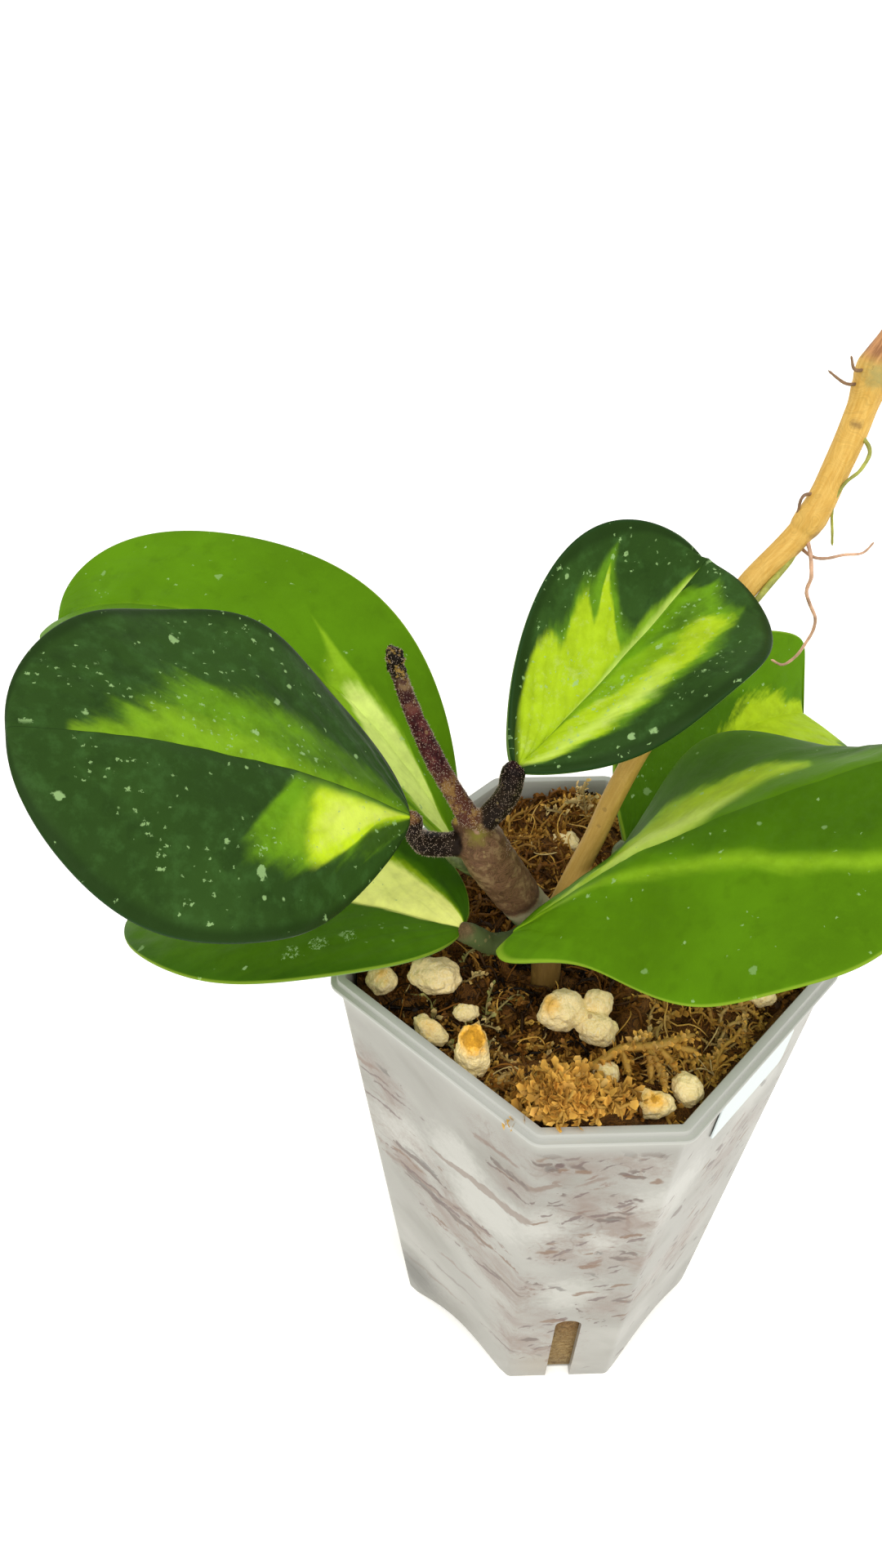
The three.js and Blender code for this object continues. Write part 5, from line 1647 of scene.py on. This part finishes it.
def make_shoot(settings):
    parts = [tube(SHOOT, 28, 14, wrinkled), tube(FLOWER_STALK, 20, 12, wrinkled, tip=0.7)]
    for name in ("leaf_front_left", "leaf_upper_right", "leaf_low_left"):
        parts.append(tube(stalk_line(name), 20, 10, wrinkled))
    parts.append(tube(stalk_line("leaf_right", (0.09, -0.5)), 20, 10, wrinkled))
    work = bmesh.new()
    for seed, (centre, size) in enumerate(SHOOT_LUMPS):
        for vert in bmesh.ops.create_icosphere(work, subdivisions=3, radius=1.0)["verts"]:
            grow = 1 + 0.16 * noise.noise(vert.co * 2.2 + Vector((seed, 0, seed)))
            vert.co = (Vector([v * s * grow for v, s in zip(vert.co, size)]) + Vector(centre)) * MM
    balls = bpy.data.meshes.new("lumps")
    work.to_mesh(balls)
    work.free()
    ball_points = np.array([v.co[:] for v in balls.vertices]) / MM
    ball_faces = [tuple(p.vertices) for p in balls.polygons]
    bpy.data.meshes.remove(balls)
    points, faces, _ = join(parts + [(ball_points, ball_faces)])
    shoot = show("young_shoot", mesh_from("young_shoot", points, faces), [], "shoot_skin", "shoot")
    mesh = knit(shoot, 0.26, 0.5, 5, lambda place: rough(place, 0.9, 3, 2) * 0.06
                + (rough(place, 1.3, 3, 5) * 0.32 if place[2] > WITHERED_Z else 0))
    mesh.materials.append(shoot_material(settings))

    hair = make_hairs(mesh, settings.hairs, settings.hair / MM)
    made, tree, shader = material("Hairs", 0.55)
    value = grain(tree, object_place(tree), 500, 2, 0.5)
    feed(tree, shader, Base_Color=blend(tree, value, "a08474", "d2c0a6"))
    show("flower_stalk_hairs", hair, [made], "shoot_skin")


def make_hairs(mesh, count, length):
    """Short pale hairs on the flower stalk and on the two dark leaf stalks."""
    rng = random.Random(5)

    def hairy(place):
        x, z = place.x / MM, place.z / MM
        return z > HAIRY_Z or (z > HAIRY_Z - 5 and abs(x + 16.9) > 3.5)

    faces = [f for f in mesh.polygons if hairy(f.center)]
    areas = np.cumsum([f.area for f in faces])
    points, tris = [], []
    for _ in range(count):
        face = faces[int(np.searchsorted(areas, rng.random() * areas[-1]))]
        corners = [mesh.vertices[i].co for i in face.vertices[:3]]
        u, v = sorted((rng.random(), rng.random()))
        root = (corners[0] * u + corners[1] * (v - u) + corners[2] * (1 - v)) / MM
        stalk = (root - Vector(STALK_MIDDLE)).length < 20 and root.x < -17
        size = length * rng.uniform(0.5, 1.2) * (1 if stalk else 0.55)
        normal = face.normal
        lean = Vector((rng.gauss(0, 0.3), rng.gauss(0, 0.3), rng.gauss(0.15, 0.3)))
        tip = root + (normal + lean).normalized() * size
        side = normal.orthogonal().normalized() * 0.04
        other = normal.cross(side).normalized() * 0.04
        n = len(points)
        root = root - normal * 0.05
        points += [root + side, root - side * 0.5 + other, root - side * 0.5 - other, tip]
        tris += [(n, n + 1, n + 3), (n + 1, n + 2, n + 3), (n + 2, n, n + 3)]
    return mesh_from("flower_stalk_hairs", [tuple(p) for p in points], tris)


def shoot_material(settings):
    made, tree, shader = material("Shoot skin", 0.5, Specular_IOR_Level=0.07)
    place = object_place(tree)
    x, _, z = split(tree, place)
    mottle = grain(tree, place, 520, 4, 0.65)
    colour = blend(tree, patch(tree, place, 190.0, 0.5, 0.3, 3.0), settings.skin, "493720")
    grit = grain(tree, place, 1500, 4, 0.7, 3.0)
    colour = paint(tree, colour, rise(tree, grit, 0.52, 0.62), 0.45, "35211c")
    colour = paint(tree, colour, rise(tree, mottle, 0.48, 0.64), 0.6, "8a7350")
    joint = spot(tree, (-17.6, -10.4, 124), 2.4, 2.2, 2.4, 4)
    colour = blend(tree, joint, colour, settings.skin_olive)
    # the grey lower end, the dark ring above it and the two grey green stalks
    colour = paint(tree, colour, spot(tree, LOWER_JOINT, 12.2, 1.2, 0.8, 6), 0.9, "8a8768")
    outer, inner = (spot(tree, LOWER_JOINT, reach, 0.5, 0.5, 8) for reach in (13, 12.3))
    colour = paint(tree, colour, minus(tree, outer, inner), 0.7, "453426")
    pale = times(tree, spot(tree, (-14, -7.6, 101), 8, 2, 1, 9), rise(tree, z, 106.5 * MM, 103.5 * MM))
    pale = most(tree, pale, spot(tree, (-15.6, -8.6, 100.8), 6, 1.5, 1, 9))
    colour = blend(tree, pale, colour, settings.grey_green)
    # the flower stalk: speckled brown at its foot, purple above, black and ochre at its withered tip
    speckled = blend(tree, rise(tree, mottle, 0.46, 0.6), "4a2a20", "7d5f34")
    colour = paint(tree, colour, rise(tree, z, 123.5 * MM, 125.5 * MM),
                   rise(tree, x, -16.5 * MM, -18 * MM), speckled)
    high = plus(tree, z, fit(tree, mottle, 6 * MM, -3 * MM))
    purple = blend(tree, rise(tree, mottle, 0.4, 0.66), "2a0e12", "5c302c")
    colour = blend(tree, rise(tree, high, 131.5 * MM, 134.5 * MM), colour, purple)
    faded = blend(tree, rise(tree, mottle, 0.45, 0.6), "4a3226", "7d6a48")
    colour = paint(tree, colour, rise(tree, high, 142.5 * MM, 146.5 * MM), 0.7, faded)
    crust = rise(tree, grain(tree, place, 760, 4, 0.7, 5.0), 0.5, 0.58)
    withered = blend(tree, crust, "16100a", "8a6f36")
    colour = blend(tree, rise(tree, high, 146.2 * MM, 147.8 * MM), colour, withered)
    # the two dark stalks, kept off the flower stalk, then the buds
    darkest = shaded(settings.dark, 0.18)
    for point, reach in DARK_STALKS:
        if point[0] > STALK_SIDE_X:
            aside = rise(tree, x, -17.2 * MM, -16.5 * MM)
        else:
            aside = rise(tree, z, 129.5 * MM, 128.5 * MM)
        dark = times(tree, spot(tree, point, reach, 0.8, 0.7, reach), aside)
        colour = paint(tree, colour, dark, 0.95,
                       blend(tree, rise(tree, mottle, 0.4, 0.7), darkest, "1a130c"))
    for point, text in (((-17.3, -9.7, 124.3), "9c7a66"), ((-20.0, -6.4, 123.2), "b8a23e")):
        colour = blend(tree, spot(tree, point, 0.7, 0.4, 0.3, 1), colour, text)
    dots = speck(tree, place, 1300.0, 0.5, 0.28)
    colour = paint(tree, colour, dots, 0.3, "9c8a5a")
    relief = plus(tree, mottle, times(tree, dots, 0.6))
    feed(tree, shader, Base_Color=colour, Normal=bump(tree, relief, 0.14, 0.8))
    return made


def make_rear_stalks(settings):
    made, tree, shader = material("Green stalk", 0.5)
    place = object_place(tree)
    mottle = grain(tree, place, 420, 4, 0.6)
    colour = blend(tree, rise(tree, mottle, 0.4, 0.66), settings.grey_green, "7c8a52")
    foot = rise(tree, split(tree, place)[2], 95 * MM, 88 * MM)
    colour = paint(tree, colour, foot, 0.7, "6a4a2c")
    feed(tree, shader, Base_Color=colour, Normal=bump(tree, mottle, 0.12, 0.8))
    for name in ("leaf_rear_left", "leaf_rear_right"):
        points, faces, _ = tube(stalk_line(name), 20, 10, wrinkled)
        side = name.replace("leaf_", "")
        piece = f"stalk_{side}"
        show(piece, mesh_from(piece, points, faces), [made], "green_stalk", f"{side}_stalk")


# Leaves

def blade_share(leaf, along):
    """Width of a blade at a place along it, as a share of its widest."""
    power = log(0.5) / log(leaf["widest"])
    bend = leaf["base_round"] + (leaf["tip_round"] - leaf["base_round"]) * along
    return np.maximum(np.sin(np.pi * along ** power), 0) ** bend


def blade_point(leaf, along, side):
    """Middle surface of a blade in millimetres: along from 0 to 1, side from -1 (right) to 1 (left)."""
    along, side = np.broadcast_arrays(np.asarray(along, float), np.asarray(side, float))
    heading, rise_angle, roll = (radians(leaf[k]) for k in ("heading", "rise", "roll"))
    forward = np.array([cos(heading) * cos(rise_angle), sin(heading) * cos(rise_angle),
                        sin(rise_angle)])
    level = np.array([-sin(heading), cos(heading), 0])
    upright = np.cross(forward, level)
    left = level * cos(roll) + upright * sin(roll)
    up = upright * cos(roll) - level * sin(roll)
    out, is_left = np.abs(side), side > 0
    share = blade_share(leaf, along)
    width = np.where(is_left, leaf["left"], leaf["right"]) * share * out
    lobe_side = np.where(is_left, 0.15 * out, out * out)
    lobe = leaf["lobe"] * lobe_side * np.exp(-((along - 0.05) / 0.07) ** 2) * np.minimum(along / 0.01, 1)
    notch = leaf["notch"] * np.exp(-(out / 0.35) ** 2) * along ** 10
    reach = along - lobe - notch
    droop = radians(leaf["droop"])
    bent = droop * reach
    run = leaf["length"] * np.sin(bent) / droop
    fall = -leaf["length"] * (1 - np.cos(bent)) / droop
    lifts = [fold + cup * out for fold, cup in zip(leaf["fold"], leaf["cup"])]
    lift = np.radians(np.where(is_left, *lifts))
    waves = [deep * np.sin(2 * np.pi * often * along + radians(start))
             for deep, often, start in (leaf["wave_left"], leaf["wave_right"])]
    ripple = np.where(is_left, *waves) * out * out * np.minimum(share, 1)
    flat = np.where(is_left, 1, -1) * width * np.cos(lift)
    high = width * np.sin(lift) + ripple
    twist = radians(leaf["twist"]) * reach
    y = flat * np.cos(twist) - high * np.sin(twist)
    z = flat * np.sin(twist) + high * np.cos(twist)
    return (np.array(leaf["base"]) + (run + z * np.sin(bent))[..., None] * forward
            + (fall + z * np.cos(bent))[..., None] * up + y[..., None] * left)


def blade_normal(leaf, along, side):
    """Way out of a blade's upper face."""
    a, s = np.clip(along, 0.02, 0.98), np.clip(side, -0.95, 0.95)
    ahead = blade_point(leaf, a + 0.01, s) - blade_point(leaf, a - 0.01, s)
    across = blade_point(leaf, a, s + 0.05) - blade_point(leaf, a, s - 0.05)
    normal = np.cross(ahead, across)
    return normal / np.linalg.norm(normal, axis=-1, keepdims=True)


# Where the lengthwise lines of a blade's grid lie, from midrib to margin, and how many rows it has
HALF_STEPS = [0, 0.02, 0.045, 0.08, 0.12, 0.17, 0.23, 0.3, 0.37, 0.44, 0.51, 0.58, 0.65, 0.72, 0.78, 0.84,
              0.89, 0.93, 0.96, 0.98, 0.992, 1]
ROWS = 96


def make_blade(name, settings, top, under):
    leaf = LEAVES[name]
    side = np.array([-s for s in reversed(HALF_STEPS[1:])] + HALF_STEPS)
    along = (1 - np.cos(np.pi * np.arange(ROWS + 1) / ROWS)) / 2
    a, s = np.meshgrid(along, side, indexing="ij")
    middle, normal = blade_point(leaf, a, s), blade_normal(leaf, a, s)
    across = np.where(s > 0, leaf["left"], leaf["right"]) * blade_share(leaf, a) * s
    midrib, margin = settings.midrib / MM, settings.margin / MM
    ends = np.sqrt(np.clip(1 - np.abs(2 * a - 1) ** 60, 0, 1))
    half = (margin + (midrib - margin) * (1 - s * s)) / 2 * np.sqrt(1 - np.abs(s) ** 40) * ends
    vein = a - 0.5 * np.abs(s)
    fade = np.clip(a / 0.06, 0, 1) * np.clip((1 - a) / 0.15, 0, 1)
    groove = 0.32 * np.exp(-(across / 0.75) ** 2) * (1 - 0.8 * a) * fade
    shoulder = 0.12 * np.exp(-((np.abs(across) - 1.8) / 1.1) ** 2) * (1 - 0.7 * a) * fade
    quilt = 0.11 * np.sin(2 * np.pi * vein * 8 + 1.3 * np.sign(s)) * np.sin(np.pi * np.abs(s)) * fade
    seed = sorted(LEAVES).index(name)
    lumps = np.array([[rough(p, 0.11, 2, seed) * 0.45 + rough(p, 0.35, 2, seed + 9) * 0.12 for p in row]
                      for row in middle]) * fade * (1 - np.abs(s) ** 6)
    ridge = 0.4 * np.exp(-(across / 1.0) ** 2) * (1 - a) * fade
    top_points = middle + normal * (half + (quilt + lumps + shoulder - groove))[..., None]
    low_points = middle + normal * (quilt + lumps - half - ridge)[..., None]
    rows, columns = a.shape
    count = rows * columns
    points = np.concatenate([top_points.reshape(-1, 3), low_points.reshape(-1, 3)])
    grid = np.stack([a, (s + 1) / 2], -1).reshape(-1, 2)
    flat = np.stack([a * leaf["length"] / 100, across / 100 + 0.5], -1).reshape(-1, 2)
    faces, kinds = [], []
    for i in range(rows - 1):
        for k in range(columns - 1):
            p = i * columns + k
            faces.append((p, p + columns, p + columns + 1, p + 1))
            faces.append((count + p, count + p + 1, count + p + columns + 1, count + p + columns))
            kinds += [0, 1]
    layers = {"Leaf": np.concatenate([grid, grid]), "Flat": np.concatenate([flat, flat])}
    mesh = mesh_from(name, points, faces, layers)
    mesh.polygons.foreach_set("material_index", kinds)
    turn_out(mesh, 0.004 * MM)
    mesh.shade_smooth()
    slot = "young_leaf" if name in YOUNG_LEAVES else "mature_leaf"
    return show(name.replace("leaf", "blade"), mesh, [top, under], slot, name)


def leaf_material(name, settings):
    """Upper face of one blade, with its own splashes."""
    young = name in YOUNG_LEAVES
    made, tree, shader = material(f"Top of {name[5:].replace('_', ' ')}", 0.4,
                                  Specular_IOR_Level=0.05 if young else 0.02)
    at = use(tree, blade_group())
    seed = float(sorted(LEAVES).index(name)) * 3.0
    palette = {hue: getattr(settings, hue) for hue in PALETTE}
    if young:
        palette.update(deep=settings.young_deep, mid=settings.young_mid)
    veins = use(tree, veins_group(), Vein=at["Vein"], Out=at["Out"], Flat=at["Flat"], Seed=seed)
    cloud = grain(tree, at["Flat"], 0.055, 3, 0.5, seed)
    ground = palette["deep"] if young or name == "leaf_low_left" else palette["mid"]
    lighter, darker, darkest = (shaded(ground, share) for share in (1.15, 0.86, 0.55))
    colour = blend(tree, rise(tree, cloud, 0.32, 0.68), darker, lighter)
    # painted sheen: paler patches that stand in for soft reflections on the blade
    painted_sheen = rise(tree, grain(tree, at["Flat"], 0.42, 5, 0.65, seed + 17), 0.46, 0.68)
    colour = paint(tree, colour, painted_sheen, 0.4 if young else 0.2,
                   "40652f" if young else shaded(ground, 1.3))
    smudge = rise(tree, grain(tree, at["Flat"], 0.24, 5, 0.6, seed + 7), 0.52, 0.68)
    colour = paint(tree, colour, smudge, 0.5 if young else 0.25, darkest)
    right = minus(tree, 1.0, at["Left"])
    splash = splash_group()
    for number, (hue, half, reads, far, near, ragged, soft, strength) in enumerate(MARKINGS[name]):
        value = at["Vein"] if reads == "vein" else at["Along"]
        mask = use(tree, splash, Vein=at["Vein"], Out=at["Out"], Left=at["Left"], Flat=at["Flat"],
                   Far=curve(tree, value, far), Near=curve(tree, value, near) if near else -1.0,
                   Ragged=ragged, Soft=soft, Seed=seed + number * 1.7)["Mask"]
        mask = times(tree, mask, at["Left"] if half == "left" else right, strength)
        drift = rise(tree, grain(tree, at["Flat"], 0.3, 4, 0.6, seed + number), 0.35, 0.7)
        shade = paint(tree, palette[hue], drift, 0.85 if young and hue in ("mid", "fresh") else 0.5,
                      shaded(palette[hue], 0.6))
        shade = paint(tree, shade, rise(tree, veins["Fine"], 0.4, 0.75), 0.25,
                      tuple(min(c * 1.2 + 0.02, 1) for c in palette[hue]))
        if young and hue in ("lime", "yellow"):
            dusting = rise(tree, grain(tree, at["Flat"], 0.6, 5, 0.7, seed + number + 30), 0.5, 0.68)
            shade = paint(tree, shade, dusting, 0.45, "b3c46a")
        colour = blend(tree, mask, colour, shade)
    # the border that stays dark, its own dark green deepened by painted shade where the margin curves away,
    # the fine veins, then the flecks
    if young:
        border = plus(tree, at["Rim"], times(tree, minus(tree, cloud, 0.5), 3.0))
        colour = paint(tree, colour, rise(tree, border, 2.4, 0.9), 0.85, darkest)
    colour = paint(tree, colour, veins["Lines"], 0.05, shaded(ground, 0.6))
    flecks = use(tree, flecks_group(), Flat=at["Flat"], Amount=FLECK_AMOUNTS.get(name, 0.18),
                 Seed=seed + 2)["Mask"]
    for along, side, reach in BIG_FLECKS[name]:
        half = (settings.margin + (settings.midrib - settings.margin) * (1 - side * side)) / 2 / MM
        centre = blade_point(LEAVES[name], along, side) + blade_normal(LEAVES[name], along, side) * half
        fleck = spot(tree, centre, reach * 1.1, 0.22, 3.4 * reach, along * 9)
        if reach > 1:
            fleck = times(tree, fleck, rise(tree, grain(tree, at["Flat"], 2.2, 3, 0.7, 5.0), 0.5, 0.56))
        flecks = most(tree, flecks, times(tree, fleck, 0.9 if young or reach > 1 else 0.5))
    flecks = times(tree, flecks, rise(tree, at["Rib"], 0.2, 1.2))
    colour = paint(tree, colour, flecks, 0.85, settings.fleck)
    colour = paint(tree, colour, rise(tree, at["Rim"], 0.4, 0.1), 0.5 if young else 0.35,
                   "1c3a18" if young else "a9c43e")
    shine = fit(tree, cloud, 0.2, 0.3 if young else 0.34)
    shine = plus(tree, shine, times(tree, flecks, 0.2))
    relief = plus(tree, veins["Relief"], times(tree, flecks, 0.15))
    feed(tree, shader, Base_Color=colour, Roughness=shine, Normal=bump(tree, relief, 0.12, 0.55))
    return made


def underside_material(name, settings, young):
    made, tree, shader = material(name, 0.5, Specular_IOR_Level=0.35)
    at = use(tree, blade_group())
    veins = use(tree, veins_group(), Vein=at["Vein"], Out=at["Out"], Flat=at["Flat"], Seed=1.0)
    cloud = grain(tree, at["Flat"], 0.07, 3, 0.5, 4.0)
    ground = shaded(settings.under, 0.6 if young else 1)
    colour = blend(tree, cloud, shaded(ground, 0.75), ground)
    colour = paint(tree, colour, veins["Lines"], 0.25, shaded(ground, 1.3))
    colour = paint(tree, colour, rise(tree, at["Rib"], 1.4, 0.5), 0.6, "a9bd74")
    feed(tree, shader, Base_Color=colour, Normal=bump(tree, veins["Relief"], 0.2, 0.6))
    return made


# Stage

def make_stage(settings):
    scene = bpy.context.scene
    scene.view_settings.view_transform = "Standard"
    half = FLOOR_SIZE / 2
    points = [(-half, -half, 0), (half, -half, 0), (half, half, 0), (-half, half, 0)]
    floor = add_object("floor", mesh_from("floor", points, [(0, 1, 2, 3)]))
    made, tree, shader = material("Floor", 0.9, Specular_IOR_Level=0.1)
    value = grain(tree, object_place(tree), 3, 3, 0.5)
    colour = blend(tree, value, settings.floor, shaded(settings.floor, 0.985))
    feed(tree, shader, Base_Color=colour, Emission_Color=colour)
    shader.inputs["Emission Strength"].default_value = settings.glow
    floor.data.materials.append(made)

    world = bpy.data.worlds.new("Studio")
    world.use_nodes = True
    back = world.node_tree.nodes["Background"]
    back.inputs["Color"].default_value = (1, 1, 1, 1)
    back.inputs["Strength"].default_value = settings.sky
    scene.world = world

    sun = bpy.data.lights.new("soft_key", "SUN")
    sun.energy, sun.angle = settings.key, radians(SUN_SPREAD)
    sun.color = (1, 0.985, 0.955)
    add_object("soft_key", sun).rotation_euler = Vector(SUN_WAY).to_track_quat("-Z", "Y").to_euler()

    camera = bpy.data.cameras.new("camera")
    camera.lens, camera.sensor_width, camera.sensor_fit = LENS, SENSOR, "AUTO"
    camera.clip_start, camera.clip_end = 0.01, 20
    azimuth, elevation, roll = (radians(a) for a in (CAMERA_AZIMUTH, CAMERA_ELEVATION, CAMERA_ROLL))
    forward = -Vector((sin(azimuth) * cos(elevation), -cos(azimuth) * cos(elevation),
                       sin(elevation)))
    right = forward.cross(Vector((0, 0, 1))).normalized()
    up = right.cross(forward)
    right, up = (right * cos(roll) + up * sin(roll), up * cos(roll) - right * sin(roll))
    turned = Matrix((right, up, -forward)).transposed().to_4x4()
    turned.translation = Vector(CAMERA_PLACE) * MM
    scene.camera = add_object("camera", camera)
    scene.camera.matrix_world = turned


# Operators, one for each piece or group of like pieces

class HoyaOperator:
    """What every operator here shares."""
    bl_options = {"REGISTER", "UNDO"}


class HOYA_OT_stage(HoyaOperator, bpy.types.Operator):
    """Makes the floor, the light and the camera"""
    bl_idname = "hoya.stage"
    bl_label = "Stage"

    def execute(self, context):
        make_stage(context.scene.hoya_stage)
        return {"FINISHED"}


class HOYA_OT_pot(HoyaOperator, bpy.types.Operator):
    """Makes the frosted nursery pot"""
    bl_idname = "hoya.pot"
    bl_label = "Pot"

    def execute(self, context):
        make_pot(context.scene.hoya_pot)
        return {"FINISHED"}


class HOYA_OT_sticker(HoyaOperator, bpy.types.Operator):
    """Makes the blank sticker"""
    bl_idname = "hoya.sticker"
    bl_label = "Sticker"

    def execute(self, context):
        make_label(context.scene.hoya_pot)
        return {"FINISHED"}


class HOYA_OT_moss(HoyaOperator, bpy.types.Operator):
    """Makes the moss with its strands, clump and branches"""
    bl_idname = "hoya.moss"
    bl_label = "Moss"

    def execute(self, context):
        make_moss(context.scene.hoya_moss)
        return {"FINISHED"}


class HOYA_OT_perlite(HoyaOperator, bpy.types.Operator):
    """Makes the perlite crumbs"""
    bl_idname = "hoya.perlite"
    bl_label = "Perlite"

    def execute(self, context):
        make_perlite(context.scene.hoya_perlite)
        return {"FINISHED"}


class HOYA_OT_cane(HoyaOperator, bpy.types.Operator):
    """Makes the old vine and its aerial roots"""
    bl_idname = "hoya.cane"
    bl_label = "Old vine"

    def execute(self, context):
        make_cane(context.scene.hoya_stems)
        return {"FINISHED"}


class HOYA_OT_shoot(HoyaOperator, bpy.types.Operator):
    """Makes the young shoot with its flower stalk and leaf stalks"""
    bl_idname = "hoya.shoot"
    bl_label = "Young shoot"

    def execute(self, context):
        make_shoot(context.scene.hoya_stems)
        return {"FINISHED"}


class HOYA_OT_rear_stalks(HoyaOperator, bpy.types.Operator):
    """Makes the stalks of the two rear leaves"""
    bl_idname = "hoya.rear_stalks"
    bl_label = "Rear stalks"

    def execute(self, context):
        make_rear_stalks(context.scene.hoya_stems)
        return {"FINISHED"}


class HOYA_OT_leaves(HoyaOperator, bpy.types.Operator):
    """Makes the six leaf blades"""
    bl_idname = "hoya.leaves"
    bl_label = "Leaves"

    def execute(self, context):
        settings = context.scene.hoya_leaves
        unders = {True: underside_material("Young underside", settings, True),
                  False: underside_material("Old underside", settings, False)}
        for name in LEAVES:
            make_blade(name, settings, leaf_material(name, settings), unders[name in YOUNG_LEAVES])
        return {"FINISHED"}


class HOYA_PT_panel(bpy.types.Panel):
    """Lists the pieces and their settings"""
    bl_idname = "HOYA_PT_panel"
    bl_label = "Potted hoya"
    bl_space_type = "VIEW_3D"
    bl_region_type = "UI"
    bl_category = "Hoya"

    def draw(self, context):
        for operator in OPERATORS:
            self.layout.operator(operator.bl_idname)
        for name, kind in SETTINGS.items():
            box = self.layout.box()
            box.label(text=name.replace("hoya_", "").capitalize())
            for key in kind.__annotations__:
                box.prop(getattr(context.scene, name), key)


OPERATORS = (HOYA_OT_stage, HOYA_OT_pot, HOYA_OT_sticker, HOYA_OT_moss, HOYA_OT_perlite, HOYA_OT_cane,
             HOYA_OT_shoot, HOYA_OT_rear_stalks, HOYA_OT_leaves)
SETTINGS = {
    "hoya_pot": HoyaPotSettings, "hoya_moss": HoyaMossSettings, "hoya_perlite": HoyaPerliteSettings,
    "hoya_stems": HoyaStemSettings, "hoya_leaves": HoyaLeafSettings, "hoya_stage": HoyaStageSettings,
}


def register():
    for made in (*SETTINGS.values(), *OPERATORS, HOYA_PT_panel):
        bpy.utils.register_class(made)
    for name, kind in SETTINGS.items():
        setattr(bpy.types.Scene, name, PointerProperty(type=kind))


def unregister():
    for name in SETTINGS:
        delattr(bpy.types.Scene, name)
    for made in reversed((*SETTINGS.values(), *OPERATORS, HOYA_PT_panel)):
        bpy.utils.unregister_class(made)


def main():
    register()
    for operator in OPERATORS:
        group_name, piece = operator.bl_idname.split(".")
        getattr(getattr(bpy.ops, group_name), piece)()


if __name__ == "__main__":
    main()
